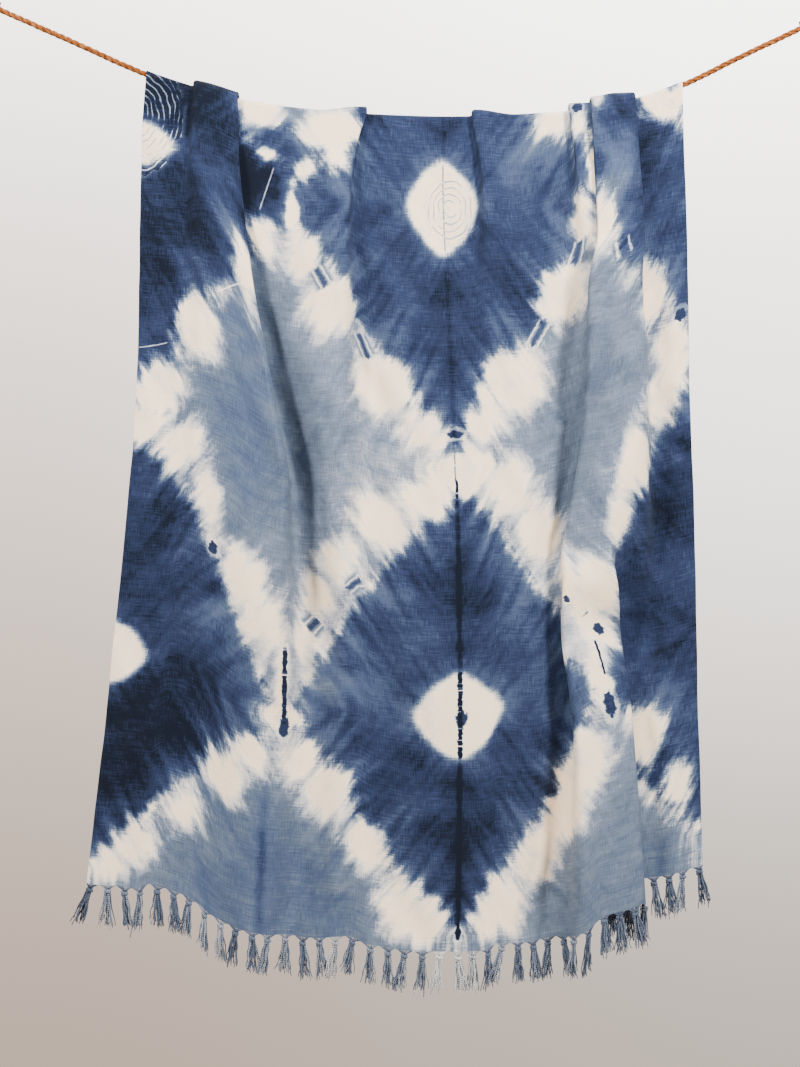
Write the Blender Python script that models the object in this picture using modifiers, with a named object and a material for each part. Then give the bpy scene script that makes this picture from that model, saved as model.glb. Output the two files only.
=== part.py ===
"""Shibori dyed cotton throw with a knotted fringe, hung over a coir rope that is held at both ends.

Metres, +Z up. The front of the throw faces -Y. The origin is the middle of the rope's left eye.
The pieces are modelled about the middle of the throw, in an empty's space, and the empty moves them all.
"""

import math
from collections import namedtuple

import bmesh
import bpy
import numpy as np

# The cloth, flat
CLOTH_WIDTH = 1.30
CLOTH_LENGTH = 1.80
CLOTH_THICK = 0.0012

# The rope and its eyes
ROPE_RADIUS = 0.0055
ROPE_LAY = 0.042
ROPE_STRANDS = 3
ROPE_SIDE_ANGLE = math.radians(30)
ROPE_SIDE_SHARE = 0.93
ROPE_FINE_STEP = 0.0055
ROPE_COVERED_STEP = 0.026
ROPE_SHOWN_UNDER_CLOTH = 0.02
EYE_LENGTH = 0.042
EYE_HALF_WIDTH = 0.0150
EYE_LEG_SPREAD = 0.0058
EYE_HOLE_SHARE = 0.58
EYE_FULLEST = 1.3
EYE_STEPS = 22
EYE_LEG_IN_SEIZING = 0.012
SEIZING_LENGTH = 0.020
SEIZING_HALF_WIDTH = 0.0128
SEIZING_HALF_DEPTH = 0.0068
SEIZING_SIDES = 16
SeizingRing = namedtuple("SeizingRing", "along share")
SEIZING_RINGS = [
    SeizingRing(0.00, 0.86),
    SeizingRing(0.12, 1.00),
    SeizingRing(0.88, 1.00),
    SeizingRing(1.00, 0.90),
]

# Clearances
TOUCH_GAP = 0.0003
REST_GAP = 0.0005
HEM_GAP = 0.0006
WELD_DISTANCE = 0.00001

# The fringe
TASSELS = 45
TASSEL_INSET = 0.008
ROOT_CLEAR_HALF = 0.0031
STRIP_HEIGHT = 0.004
STRIP_HALF_THICK = 0.0009
ROOT_HALF_WIDTH = 0.0024
KNOT_DROP = 0.0050
KNOT_HALF_WIDTH = 0.0044
NECK_DROP = 0.0100
NECK_HALF_WIDTH = 0.0034
LOCK_ROOT_SHARE = 0.70
LOCK_TIP_SHARE = 0.78
LOCK_DROP = 0.0720
LOCK_DROP_VARIES = 0.006
LOCK_SPREAD = 0.0048
LOCK_SPREAD_VARIES = 0.0012
LOCK_SPREAD_BACK = 0.0010
RING_ROUND = 0.78
HEM_PROBE = 0.003

# Rows of the cloth's mesh: shares of the front fall, closer together where folds open or close
FRONT_SHARES = (1.0, 0.87, 0.76, 0.67, 0.61, 0.56, 0.50, 0.42, 0.33, 0.26, 0.20, 0.14, 0.09, 0.045, 0.015, 0.0)
WRAP_ROWS = 3
BACK_SHARES = (0.0, 0.25, 0.6, 1.0)

# The rope's route through its own points, from eye to eye
RoutePoint = namedtuple("RoutePoint", "x z")
ROUTE = [
    RoutePoint(-0.7461, 0.9753),
    RoutePoint(-0.6058, 0.9133),
    RoutePoint(-0.4710, 0.8537),
    RoutePoint(-0.3879, 0.8256),
    RoutePoint(-0.3011, 0.8016),
    RoutePoint(-0.1847, 0.7841),
    RoutePoint(-0.0683, 0.7739),
    RoutePoint(0.0924, 0.7687),
    RoutePoint(0.2216, 0.7730),
    RoutePoint(0.3546, 0.7831),
    RoutePoint(0.4377, 0.8016),
    RoutePoint(0.5245, 0.8334),
    RoutePoint(0.6316, 0.8856),
    RoutePoint(0.7460, 0.9397),
]

# Length of the front fall, from the crest of the rope to the hem, across the flat cloth
FallPoint = namedtuple("FallPoint", "across length")
FRONT_FALL = [
    FallPoint(0.00, 1.510),
    FallPoint(0.10, 1.490),
    FallPoint(0.18, 1.497),
    FallPoint(0.25, 1.525),
    FallPoint(0.34, 1.535),
    FallPoint(0.46, 1.538),
    FallPoint(0.60, 1.551),
    FallPoint(0.74, 1.546),
    FallPoint(0.86, 1.526),
    FallPoint(0.96, 1.488),
    FallPoint(1.03, 1.482),
    FallPoint(1.12, 1.478),
    FallPoint(1.16, 1.450),
    FallPoint(1.20, 1.446),
    FallPoint(1.30, 1.455),
]

# Where four lines of the flat cloth hang, by their drop below the rope: x of each
HangRow = namedtuple("HangRow", "drop left_selvedge quarter_line middle_line right_selvedge")
HANG_LINES = (0.0, 0.325, 0.65, 1.30)
HANG = [
    HangRow(0.00, -0.4710, -0.2032, 0.0794, 0.5245),
    HangRow(0.12, -0.4795, -0.2059, 0.0798, 0.5273),
    HangRow(0.30, -0.4830, -0.2087, 0.0864, 0.5332),
    HangRow(0.55, -0.4876, -0.2087, 0.0979, 0.5371),
    HangRow(0.85, -0.5101, -0.2032, 0.1077, 0.5472),
    HangRow(1.10, -0.5356, -0.2161, 0.1099, 0.5522),
    HangRow(1.50, -0.5811, -0.2475, 0.1062, 0.5633),
]

# Folds. At each drop: the fold's middle on the flat cloth, half the cloth it bends, the width it takes up,
# and the share of it that lies straight between its two turns. RIGHT_IN_FRONT brings the cloth forward.
# Each fold also has the mesh's steps in each of its turns, and across the panel on its left.
RIGHT_IN_FRONT = 1.0
LEFT_IN_FRONT = -1.0
FoldRow = namedtuple("FoldRow", "drop middle half take_up straight")
Fold = namedtuple("Fold", "front turn_steps panel_steps rows")
FOLDS = {
    "left_ridge_left_edge": Fold(
        RIGHT_IN_FRONT,
        2,
        2,
        [
            FoldRow(0.00, 0.098, 0.0120, 0.010, 0.10),
            FoldRow(0.12, 0.098, 0.0150, 0.008, 0.05),
            FoldRow(0.22, 0.100, 0.0240, 0.004, 0.00),
            FoldRow(0.40, 0.100, 0.0300, 0.000, 0.00),
        ],
    ),
    "left_ridge_right_edge": Fold(
        LEFT_IN_FRONT,
        3,
        2,
        [
            FoldRow(0.00, 0.200, 0.0130, 0.031, 0.40),
            FoldRow(0.12, 0.207, 0.0150, 0.034, 0.35),
            FoldRow(0.30, 0.226, 0.0200, 0.042, 0.30),
            FoldRow(0.55, 0.277, 0.0300, 0.044, 0.20),
            FoldRow(0.85, 0.335, 0.0420, 0.030, 0.10),
            FoldRow(1.10, 0.345, 0.0500, 0.009, 0.00),
            FoldRow(1.50, 0.345, 0.0500, 0.003, 0.00),
        ],
    ),
    "middle_left_pleat": Fold(
        LEFT_IN_FRONT,
        3,
        2,
        [
            FoldRow(0.00, 0.482, 0.0130, 0.028, 0.35),
            FoldRow(0.05, 0.466, 0.0140, 0.026, 0.30),
            FoldRow(0.12, 0.458, 0.0180, 0.022, 0.20),
            FoldRow(0.30, 0.455, 0.0300, 0.014, 0.05),
            FoldRow(0.55, 0.455, 0.0400, 0.008, 0.00),
            FoldRow(0.90, 0.460, 0.0450, 0.002, 0.00),
        ],
    ),
    "middle_right_pleat": Fold(
        RIGHT_IN_FRONT,
        2,
        5,
        [
            FoldRow(0.00, 0.712, 0.0120, 0.011, 0.10),
            FoldRow(0.12, 0.727, 0.0150, 0.009, 0.05),
            FoldRow(0.25, 0.722, 0.0240, 0.004, 0.00),
            FoldRow(0.45, 0.720, 0.0300, 0.000, 0.00),
        ],
    ),
    "small_right_pleat": Fold(
        RIGHT_IN_FRONT,
        3,
        3,
        [
            FoldRow(0.00, 0.922, 0.0130, 0.024, 0.30),
            FoldRow(0.08, 0.922, 0.0160, 0.018, 0.20),
            FoldRow(0.20, 0.918, 0.0280, 0.008, 0.05),
            FoldRow(0.45, 0.895, 0.0330, 0.002, 0.00),
            FoldRow(0.70, 0.870, 0.0200, 0.000, 0.00),
            FoldRow(1.00, 0.820, 0.0200, 0.000, 0.00),
            FoldRow(1.50, 0.790, 0.0200, 0.000, 0.00),
        ],
    ),
    "right_ridge_left_edge": Fold(
        RIGHT_IN_FRONT,
        4,
        2,
        [
            FoldRow(0.00, 1.027, 0.0240, 0.075, 0.55),
            FoldRow(0.18, 1.023, 0.0290, 0.090, 0.55),
            FoldRow(0.33, 1.026, 0.0470, 0.148, 0.58),
            FoldRow(0.50, 1.030, 0.0520, 0.165, 0.60),
            FoldRow(0.75, 0.991, 0.0520, 0.165, 0.60),
            FoldRow(0.86, 0.956, 0.0440, 0.136, 0.58),
            FoldRow(1.00, 0.903, 0.0330, 0.090, 0.45),
            FoldRow(1.15, 0.893, 0.0300, 0.046, 0.15),
            FoldRow(1.50, 0.868, 0.0450, 0.018, 0.00),
        ],
    ),
    "lobe_edge": Fold(
        LEFT_IN_FRONT,
        4,
        1,
        [
            FoldRow(0.00, 1.090, 0.0150, 0.000, 0.00),
            FoldRow(0.33, 1.115, 0.0200, 0.000, 0.00),
            FoldRow(0.68, 1.120, 0.0300, 0.000, 0.00),
            FoldRow(0.81, 1.118, 0.0260, 0.003, 0.05),
            FoldRow(0.89, 1.102, 0.0260, 0.052, 0.40),
            FoldRow(1.00, 1.071, 0.0400, 0.120, 0.55),
            FoldRow(1.20, 1.063, 0.0480, 0.145, 0.58),
            FoldRow(1.50, 1.067, 0.0520, 0.158, 0.58),
        ],
    ),
    "right_ridge_right_edge": Fold(
        LEFT_IN_FRONT,
        4,
        1,
        [
            FoldRow(0.00, 1.152, 0.0240, 0.075, 0.55),
            FoldRow(0.21, 1.160, 0.0260, 0.078, 0.50),
            FoldRow(0.33, 1.182, 0.0260, 0.040, 0.15),
            FoldRow(0.50, 1.205, 0.0300, 0.020, 0.00),
            FoldRow(0.75, 1.205, 0.0300, 0.012, 0.00),
            FoldRow(0.95, 1.205, 0.0300, 0.000, 0.00),
        ],
    ),
}
LAST_PANEL_STEPS = 3
LEAST_FLAT_SHARE = 0.3
LEAST_TAKE_UP = 0.0001

# Soft swells and hollows of the hanging cloth: place, reach each way, and height towards the front
Swell = namedtuple("Swell", "across drop half_across half_drop height")
SWELLS = [
    Swell(0.10, 1.10, 0.16, 0.70, 0.012),
    Swell(0.62, 1.05, 0.30, 0.80, 0.022),
    Swell(0.46, 1.52, 0.12, 0.50, 0.010),
    Swell(0.20, 1.52, 0.10, 0.45, -0.004),
    Swell(1.213, 1.45, 0.035, 0.35, -0.006),
    Swell(1.05, 0.60, 0.10, 0.40, 0.008),
]

SWELL_FULL_DROP = 0.5

# How far the pleats stand up: pressed flatter on the rope than below it
LOFT_ON_ROPE = 0.60
LOFT_BELOW = 0.80
LOFT_FULL_DROP = 0.16
RELAX_PER_RISE = 5.0
RELAX_LEAST = 0.05

# Sampling of the sections
LEVEL_STEP = 0.01
LEVELS = np.arange(0.0, 1.6001, LEVEL_STEP)
DROP_ROUNDS = 6
SLOPE_PROBE = 0.002
MOST_SWING = 3.05
ACROSS = np.linspace(0.0, CLOTH_WIDTH, 1301)
ACROSS_STEP = ACROSS[1] - ACROSS[0]


def rgb_from_hex(code):
    """Linear colour of an sRGB hex value."""
    channels = [int(code[i : i + 2], 16) / 255 for i in (1, 3, 5)]
    return [c / 12.92 if c <= 0.04045 else ((c + 0.055) / 1.055) ** 2.4 for c in channels] + [1.0]


def material(name, colour, roughness):
    made = bpy.data.materials.new(name)
    made.use_nodes = True
    shader = made.node_tree.nodes["Principled BSDF"]
    shader.inputs["Base Color"].default_value = rgb_from_hex(colour)
    shader.inputs["Roughness"].default_value = roughness
    shader.inputs["Metallic"].default_value = 0.0
    return made


def ease(value):
    """Smooth step from 0 to 1."""
    t = np.clip(value, 0.0, 1.0)
    return t * t * (3 - 2 * t)


def smooth_through(xs, ys, at):
    """A smooth curve through the given points that doesn't overshoot between them."""
    xs = np.asarray(xs, float)
    ys = np.asarray(ys, float)
    rises = np.diff(ys) / np.diff(xs)
    before = rises[:-1]
    after = rises[1:]
    same_way = before * after > 0
    total = np.where(same_way, before + after, 1.0)
    inner = np.where(same_way, 2 * before * after / total, 0.0)
    slopes = np.concatenate([rises[:1], inner, rises[-1:]])
    at = np.clip(at, xs[0], xs[-1])
    i = np.clip(np.searchsorted(xs, at, side="right") - 1, 0, len(xs) - 2)
    width = xs[i + 1] - xs[i]
    t = (at - xs[i]) / width
    return (
        ys[i] * (1 + 2 * t) * (1 - t) ** 2
        + ys[i + 1] * t * t * (3 - 2 * t)
        + slopes[i] * width * t * (1 - t) ** 2
        - slopes[i + 1] * width * t * t * (1 - t)
    )


def rope_height(x):
    """Height of the rope's middle line."""
    return smooth_through([p.x for p in ROUTE], [p.z for p in ROUTE], x)


def rope_slope(x):
    """Rise of the rope for each metre across."""
    return (rope_height(x + SLOPE_PROBE) - rope_height(x - SLOPE_PROBE)) / (2 * SLOPE_PROBE)


def front_fall(across):
    return smooth_through([p.across for p in FRONT_FALL], [p.length for p in FRONT_FALL], across)


def fold_share(distance, straight):
    """1 in the straight middle of a fold, easing to 0 at its ends, where distance is 1."""
    return 1 - ease((np.abs(distance) - straight) / (1 - straight))


def fold_swing(take_up_share, straight):
    """The angle that a fold turns through to take up this share of the cloth it bends."""
    distance = np.linspace(-1, 1, 81)
    share = fold_share(distance, straight)
    angles = np.linspace(0, MOST_SWING, 90)
    taken = [np.mean(1 - np.cos(angle * share)) for angle in angles]
    return float(np.interp(take_up_share, taken, angles))


def fold_at(fold, drop):
    """The fold's middle, half width, take-up and straight share at this drop."""
    drops = [row.drop for row in fold.rows]
    return [float(smooth_through(drops, [row[i] for row in fold.rows], drop)) for i in range(1, 5)]


def section(drop):
    """Level cross-section of the cloth at one drop: x and forward distance along ACROSS."""
    turn = np.zeros_like(ACROSS)
    proud = []
    for fold in FOLDS.values():
        middle, half, take_up, straight = fold_at(fold, drop)
        if take_up < LEAST_TAKE_UP:
            continue
        swing = fold_swing(take_up / (2 * half), straight)
        bend = swing * fold_share((ACROSS - middle) / half, straight)
        turn += fold.front * bend
        rise = np.sum(np.sin(bend)) * ACROSS_STEP
        proud.append((fold.front, rise, np.abs(ACROSS - middle) <= half))
    x = np.concatenate([[0], np.cumsum(np.cos(turn))[:-1] * ACROSS_STEP])
    forward = np.concatenate([[0], np.cumsum(np.sin(turn))[:-1] * ACROSS_STEP])
    x = hang_between_lines(x, drop)
    for front, rise, bent in proud:
        relax = max(RELAX_LEAST, RELAX_PER_RISE * rise)
        if front == RIGHT_IN_FRONT:
            forward = forward - rise * ease((x - x[bent].max()) / relax)
        else:
            forward = forward + rise * (1 - ease((x[bent].min() - x) / relax))
    return x, forward


def hang_between_lines(x, drop):
    """Moves a section so that the cloth's four known lines hang where they should."""
    drops = [row.drop for row in HANG]
    wanted = [smooth_through(drops, [row[i] for row in HANG], drop) for i in range(1, 5)]
    own = np.interp(HANG_LINES, ACROSS, x)
    panel = np.clip(np.searchsorted(HANG_LINES, ACROSS, side="right") - 1, 0, len(own) - 2)
    stretch = np.diff(wanted) / np.diff(own)
    return np.asarray(wanted)[panel] + (x - own[panel]) * stretch[panel]


def swell(across, drop):
    """Soft relief that the folds don't hold."""
    total = 0.0
    for s in SWELLS:
        a = np.clip((across - s.across) / s.half_across, -1, 1)
        d = np.clip((drop - s.drop) / s.half_drop, -1, 1)
        total = total + s.height * (1 + np.cos(np.pi * a)) * (1 + np.cos(np.pi * d)) / 4
    return total


def all_sections():
    """Tables of x and forward distance, a row for each level."""
    made = [section(drop) for drop in LEVELS]
    x = np.array([m[0] for m in made])
    forward = np.array([m[1] for m in made])
    loft = LOFT_ON_ROPE + (LOFT_BELOW - LOFT_ON_ROPE) * ease(LEVELS / LOFT_FULL_DROP)
    return x, forward * loft[:, None]


def read_table(table, across, drop):
    """Value of a level table at each (across, drop)."""
    level = np.clip(np.asarray(drop) / LEVEL_STEP, 0, len(LEVELS) - 1.001)
    column = np.clip(np.asarray(across) / ACROSS_STEP, 0, len(ACROSS) - 1.001)
    i = level.astype(int)
    j = column.astype(int)
    s = level - i
    t = column - j
    low = table[i, j] * (1 - t) + table[i, j + 1] * t
    high = table[i + 1, j] * (1 - t) + table[i + 1, j + 1] * t
    return low * (1 - s) + high * s


def column_places():
    """Where the mesh's columns lie on the flat cloth at each level: the same steps in each fold and panel."""
    places = []
    for drop in LEVELS:
        row = [0.0]
        for fold in FOLDS.values():
            middle, half, _, straight = fold_at(fold, drop)
            flat = max(straight, LEAST_FLAT_SHARE)
            turn = np.linspace(1, flat, fold.turn_steps + 1)
            share = np.concatenate([-turn, [0.0], turn[::-1]])
            row += list(np.linspace(row[-1], middle - half, fold.panel_steps + 1)[1:-1])
            row += list(middle + half * share)
        row += list(np.linspace(row[-1], CLOTH_WIDTH, LAST_PANEL_STEPS + 1)[1:])
        places.append(row)
    return np.array(places)


def places_at(places, drop):
    """The columns' places, each column at its own drop."""
    level = np.clip(np.asarray(drop) / LEVEL_STEP, 0, len(LEVELS) - 1.001)
    i = level.astype(int)
    s = level - i
    column = np.arange(places.shape[1])
    return places[i, column] * (1 - s) + places[i + 1, column] * s


def wrap_radius(forward_on_rope):
    """Radius of the cloth's middle surface round the rope's middle line."""
    return ROPE_RADIUS + REST_GAP + CLOTH_THICK / 2 + forward_on_rope


def fall_row(tables, places, share, side):
    """A row on a fall: x, y, z and place on the flat cloth. share is 1 at the hem; side is -1 in front."""
    x_table, forward_table = tables
    drop = np.zeros(places.shape[1])
    for _ in range(DROP_ROUNDS):
        across = places_at(places, drop)
        on_rope = np.zeros_like(across)
        radius = wrap_radius(read_table(forward_table, across, on_rope))
        front = front_fall(across)
        back = CLOTH_LENGTH - front - math.pi * radius
        drop = share * (front - radius if side < 0 else back + radius)
    x = read_table(x_table, across, drop)
    forward = read_table(forward_table, across, drop)
    lean = swell(across, drop) * ease(drop / SWELL_FULL_DROP) if side < 0 else 0.0
    y = side * (wrap_radius(forward) + lean)
    z = rope_height(read_table(x_table, across, on_rope)) - drop
    return np.column_stack([x, y, z, across])


def wrap_row(tables, places, angle):
    """A row on the rope, like a fall's. angle is 0 on the crest, and +90 degrees in front."""
    x_table, forward_table = tables
    across = places[0]
    on_rope = np.zeros_like(across)
    x = read_table(x_table, across, on_rope)
    radius = wrap_radius(read_table(forward_table, across, on_rope))
    slope = rope_slope(x)
    rise = radius * np.sqrt(1 + slope * slope)
    z = rope_height(x) + rise * math.cos(angle)
    return np.column_stack([x, -radius * math.sin(angle), z, across])


def cloth_rows(tables, places):
    """All rows, from the front hem over the rope to the back hem."""
    front = [fall_row(tables, places, share, -1) for share in FRONT_SHARES]
    turn = np.linspace(math.pi / 2, -math.pi / 2, WRAP_ROWS + 2)[1:-1]
    over = [wrap_row(tables, places, angle) for angle in turn]
    back = [fall_row(tables, places, share, 1) for share in BACK_SHARES]
    return front + over + back


def mesh_object(name, points, faces, colour_material, collection, parent):
    mesh = bpy.data.meshes.new(name)
    mesh.from_pydata([tuple(p) for p in points], [], faces)
    mesh.update()
    made = bpy.data.objects.new(name, mesh)
    made.data.materials.append(colour_material)
    collection.objects.link(made)
    made.parent = parent
    mesh.shade_smooth()
    return made


def build_cloth(tables, places, collection, parent):
    rows = cloth_rows(tables, places)
    points = np.concatenate(rows)[:, :3]
    columns = places.shape[1]
    faces = []
    for i in range(len(rows) - 1):
        for j in range(columns - 1):
            a = i * columns + j
            faces.append((a, a + 1, a + 1 + columns))
            faces.append((a, a + 1 + columns, a + columns))
    look = material("indigo_cotton", "#4A6388", 0.9)
    cloth = mesh_object("cloth", points, faces, look, collection, parent)
    shell = cloth.modifiers.new("thickness", "SOLIDIFY")
    shell.thickness = CLOTH_THICK
    shell.offset = 0.0
    return rows[0]


def along_hem(hem, hem_across, across):
    """Point on the hem's own straight steps."""
    return np.array([np.interp(across, hem_across, hem[:, i]) for i in range(3)])


def flat_direction(hem, hem_across, across):
    """Unit direction along the hem, seen from above."""
    low = max(0.0, across - HEM_PROBE)
    high = min(CLOTH_WIDTH, across + HEM_PROBE)
    way = along_hem(hem, hem_across, high) - along_hem(hem, hem_across, low)
    way[2] = 0
    return way / np.linalg.norm(way)


def strip_column(mesh, hem, hem_across, across):
    """Five corners of the strip at one place: top front, top back, bottom front, middle and back."""
    point = along_hem(hem, hem_across, across)
    way = flat_direction(hem, hem_across, across)
    back = np.array([-way[1], way[0], 0.0]) * STRIP_HALF_THICK
    top = point - np.array([0, 0, HEM_GAP])
    low = top - np.array([0, 0, STRIP_HEIGHT])
    return [mesh.verts.new(p) for p in (top - back, top + back, low - back, low, low + back)]


def ring(mesh, centre, way, half):
    """Eight points of a rounded square, in the order of a tassel's root, seen from above."""
    back = np.array([-way[1], way[0], 0.0])
    c = RING_ROUND
    steps = [(-c, -c), (0, -1), (c, -c), (1, 0), (c, c), (0, 1), (-c, c), (-1, 0)]
    return [mesh.verts.new(centre + half * (a * way + b * back)) for a, b in steps]


def join_rings(mesh, upper, lower):
    for i in range(len(upper)):
        k = (i + 1) % len(upper)
        mesh.faces.new((upper[i], lower[i], lower[k], upper[k]))


def add_lock(mesh, cell, way, aim, chance):
    """One lock of yarn, drawn out from a cell of the knot's underside."""
    middle = np.mean([v.co for v in cell], axis=0)
    back = np.array([-way[1], way[0], 0.0])
    sideways = LOCK_SPREAD + LOCK_SPREAD_VARIES * chance.uniform(-1, 1)
    length = LOCK_DROP + LOCK_DROP_VARIES * chance.uniform(-1, 1)
    end = middle + aim[0] * sideways * way + aim[1] * LOCK_SPREAD_BACK * back
    end = end - np.array([0, 0, length])
    outline = [np.array(v.co) - middle for v in cell]
    root = [mesh.verts.new(middle + LOCK_ROOT_SHARE * step) for step in outline]
    tip = [mesh.verts.new(end + LOCK_TIP_SHARE * step) for step in outline]
    join_rings(mesh, cell, root)
    join_rings(mesh, root, tip)
    mesh.faces.new(tip[::-1])


def add_tassel(mesh, columns, centre, way, chance):
    """A knot and its four locks, hung from three columns of the strip."""
    left, middle, right = columns
    root = [left[2], middle[2], right[2], right[3], right[4], middle[4], left[4], left[3]]
    knot_centre = centre - np.array([0, 0, KNOT_DROP])
    neck_centre = centre - np.array([0, 0, NECK_DROP])
    knot = ring(mesh, knot_centre, way, KNOT_HALF_WIDTH)
    neck = ring(mesh, neck_centre, way, NECK_HALF_WIDTH)
    heart = mesh.verts.new(neck_centre)
    join_rings(mesh, root, knot)
    join_rings(mesh, knot, neck)
    cells = [
        ([neck[0], neck[7], heart, neck[1]], (-1, -1)),
        ([neck[1], heart, neck[3], neck[2]], (1, -1)),
        ([heart, neck[5], neck[4], neck[3]], (1, 1)),
        ([neck[7], neck[6], neck[5], heart], (-1, 1)),
    ]
    for cell, aim in cells:
        add_lock(mesh, cell[::-1], way, aim, chance)


def build_fringe(hem, hem_across, collection, parent):
    chance = np.random.default_rng(7)
    mesh = bmesh.new()
    middles = np.linspace(TASSEL_INSET, CLOTH_WIDTH - TASSEL_INSET, TASSELS)
    roots = [middle + side * ROOT_HALF_WIDTH for middle in middles for side in (-1, 0, 1)]
    plain = [a for a in hem_across if np.min(np.abs(middles - a)) > ROOT_CLEAR_HALF]
    across = sorted(roots + plain)
    columns = [strip_column(mesh, hem, hem_across, a) for a in across]
    for i in range(len(columns) - 1):
        here, there = columns[i], columns[i + 1]
        mesh.faces.new((here[0], here[2], there[2], there[0]))
        mesh.faces.new((here[1], there[1], there[4], here[4]))
        mesh.faces.new((here[0], there[0], there[1], here[1]))
        inside = (across[i] + across[i + 1]) / 2
        if np.min(np.abs(middles - inside)) > ROOT_HALF_WIDTH:
            mesh.faces.new((here[2], here[3], there[3], there[2]))
            mesh.faces.new((here[3], here[4], there[4], there[3]))
    first, last = columns[0], columns[-1]
    mesh.faces.new((first[0], first[1], first[4], first[3], first[2]))
    mesh.faces.new((last[0], last[2], last[3], last[4], last[1]))
    for middle in middles:
        i = int(np.argmin(np.abs(np.array(across) - middle)))
        way = flat_direction(hem, hem_across, middle)
        centre = np.array(columns[i][3].co)
        add_tassel(mesh, columns[i - 1 : i + 2], centre, way, chance)
    bmesh.ops.recalc_face_normals(mesh, faces=mesh.faces)
    data = bpy.data.meshes.new("fringe")
    mesh.to_mesh(data)
    mesh.free()
    fringe = bpy.data.objects.new("fringe", data)
    fringe.data.materials.append(material("fringe_cotton", "#6C7F99", 0.9))
    collection.objects.link(fringe)
    fringe.parent = parent


def rope_stations():
    """Places along x where the rope's rings stand, close together where it shows."""
    left = ROUTE[0].x
    right = ROUTE[-1].x
    cloth_left = HANG[0].left_selvedge + ROPE_SHOWN_UNDER_CLOTH
    cloth_right = HANG[0].right_selvedge - ROPE_SHOWN_UNDER_CLOTH
    shown_left = np.arange(left, cloth_left, ROPE_FINE_STEP)
    covered = np.linspace(cloth_left, cloth_right, round((cloth_right - cloth_left) / ROPE_COVERED_STEP))
    shown_right = np.arange(right, cloth_right, -ROPE_FINE_STEP)[::-1]
    return np.concatenate([shown_left, covered, shown_right])


def rope_frames(xs):
    """Middle point, direction and upward side of the rope at each station, and the length so far."""
    z = rope_height(xs)
    points = np.column_stack([xs, np.zeros_like(xs), z])
    slope = rope_slope(np.clip(xs, ROUTE[0].x + SLOPE_PROBE, ROUTE[-1].x - SLOPE_PROBE))
    ways = np.column_stack([np.ones_like(xs), np.zeros_like(xs), slope])
    ways /= np.linalg.norm(ways, axis=1)[:, None]
    ups = np.column_stack([-ways[:, 2], np.zeros_like(xs), ways[:, 0]])
    steps = np.linalg.norm(np.diff(points, axis=0), axis=1)
    return points, ways, ups, np.concatenate([[0], np.cumsum(steps)])


def strand_section():
    """Angle and radius of the rope's outline: three rounded strands with a groove between them."""
    outline = []
    for strand in range(ROPE_STRANDS):
        middle = 2 * math.pi * strand / ROPE_STRANDS
        for side, share in ((-1, ROPE_SIDE_SHARE), (0, 1.0), (1, ROPE_SIDE_SHARE)):
            outline.append((middle + side * ROPE_SIDE_ANGLE, ROPE_RADIUS * share))
    return outline


def build_rope(collection, parent):
    points, ways, ups, run = rope_frames(rope_stations())
    outline = strand_section()
    side = np.array([0.0, -1.0, 0.0])
    vertices = []
    for point, up, length in zip(points, ups, run):
        twist = 2 * math.pi * length / ROPE_LAY
        for angle, radius in outline:
            a = angle + twist
            vertices.append(point + radius * (math.cos(a) * up + math.sin(a) * side))
    count = len(outline)
    faces = [tuple(range(count))[::-1]]
    for i in range(len(points) - 1):
        for j in range(count):
            k = (j + 1) % count
            faces.append((i * count + j, i * count + k, (i + 1) * count + k, (i + 1) * count + j))
    faces.append(tuple((len(points) - 1) * count + j for j in range(count)))
    look = material("coir", "#A8673C", 0.95)
    rope = mesh_object("rope", vertices, faces, look, collection, parent)
    solid = bmesh.new()
    solid.from_mesh(rope.data)
    bmesh.ops.recalc_face_normals(solid, faces=solid.faces)
    solid.to_mesh(rope.data)
    solid.free()
    return look


def eye_frame(end):
    """Where an eye starts, which way it runs and its upward side. end is 0 at the left, -1 at the right."""
    points, ways, ups, _ = rope_frames(rope_stations())
    out = ways[end] * (-1 if end == 0 else 1)
    return points[end], out, ups[end]


def eye_middle(end):
    """Middle of the eye's hole, where a hook holds it."""
    start, out, _ = eye_frame(end)
    return start + out * (TOUCH_GAP + SEIZING_LENGTH + EYE_LENGTH * EYE_HOLE_SHARE)


def eye_path(end):
    """The eye's rope: out from the seizing, round, and back into it."""
    start, out, up = eye_frame(end)
    face = start + out * (TOUCH_GAP + SEIZING_LENGTH)
    path = []
    for turn in np.linspace(0, 2 * math.pi, EYE_STEPS + 1):
        away = (1 - math.cos(turn)) / 2
        leg = EYE_LEG_SPREAD * math.copysign(1 - away, math.pi - turn)
        across = EYE_HALF_WIDTH * math.sin(turn) * 2 * away / EYE_FULLEST + leg
        path.append(face + out * EYE_LENGTH * away + up * across)
    return [path[0] - out * EYE_LEG_IN_SEIZING] + path + [path[-1] - out * EYE_LEG_IN_SEIZING]


def tube_mesh(name, path, radius):
    """A closed tube along a path, as a mesh with welded caps."""
    curve = bpy.data.curves.new(name, "CURVE")
    curve.dimensions = "3D"
    curve.bevel_depth = radius
    curve.bevel_resolution = 2
    curve.use_fill_caps = True
    spline = curve.splines.new("POLY")
    spline.points.add(len(path) - 1)
    for spot, place in zip(spline.points, path):
        spot.co = (*place, 1.0)
    line = bpy.data.objects.new(name, curve)
    bpy.context.scene.collection.objects.link(line)
    bpy.context.view_layer.update()
    graph = bpy.context.evaluated_depsgraph_get()
    mesh = bpy.data.meshes.new_from_object(line.evaluated_get(graph))
    solid = bmesh.new()
    solid.from_mesh(mesh)
    bmesh.ops.remove_doubles(solid, verts=solid.verts, dist=WELD_DISTANCE)
    bmesh.ops.recalc_face_normals(solid, faces=solid.faces)
    solid.to_mesh(mesh)
    solid.free()
    bpy.data.objects.remove(line)
    return mesh


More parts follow.
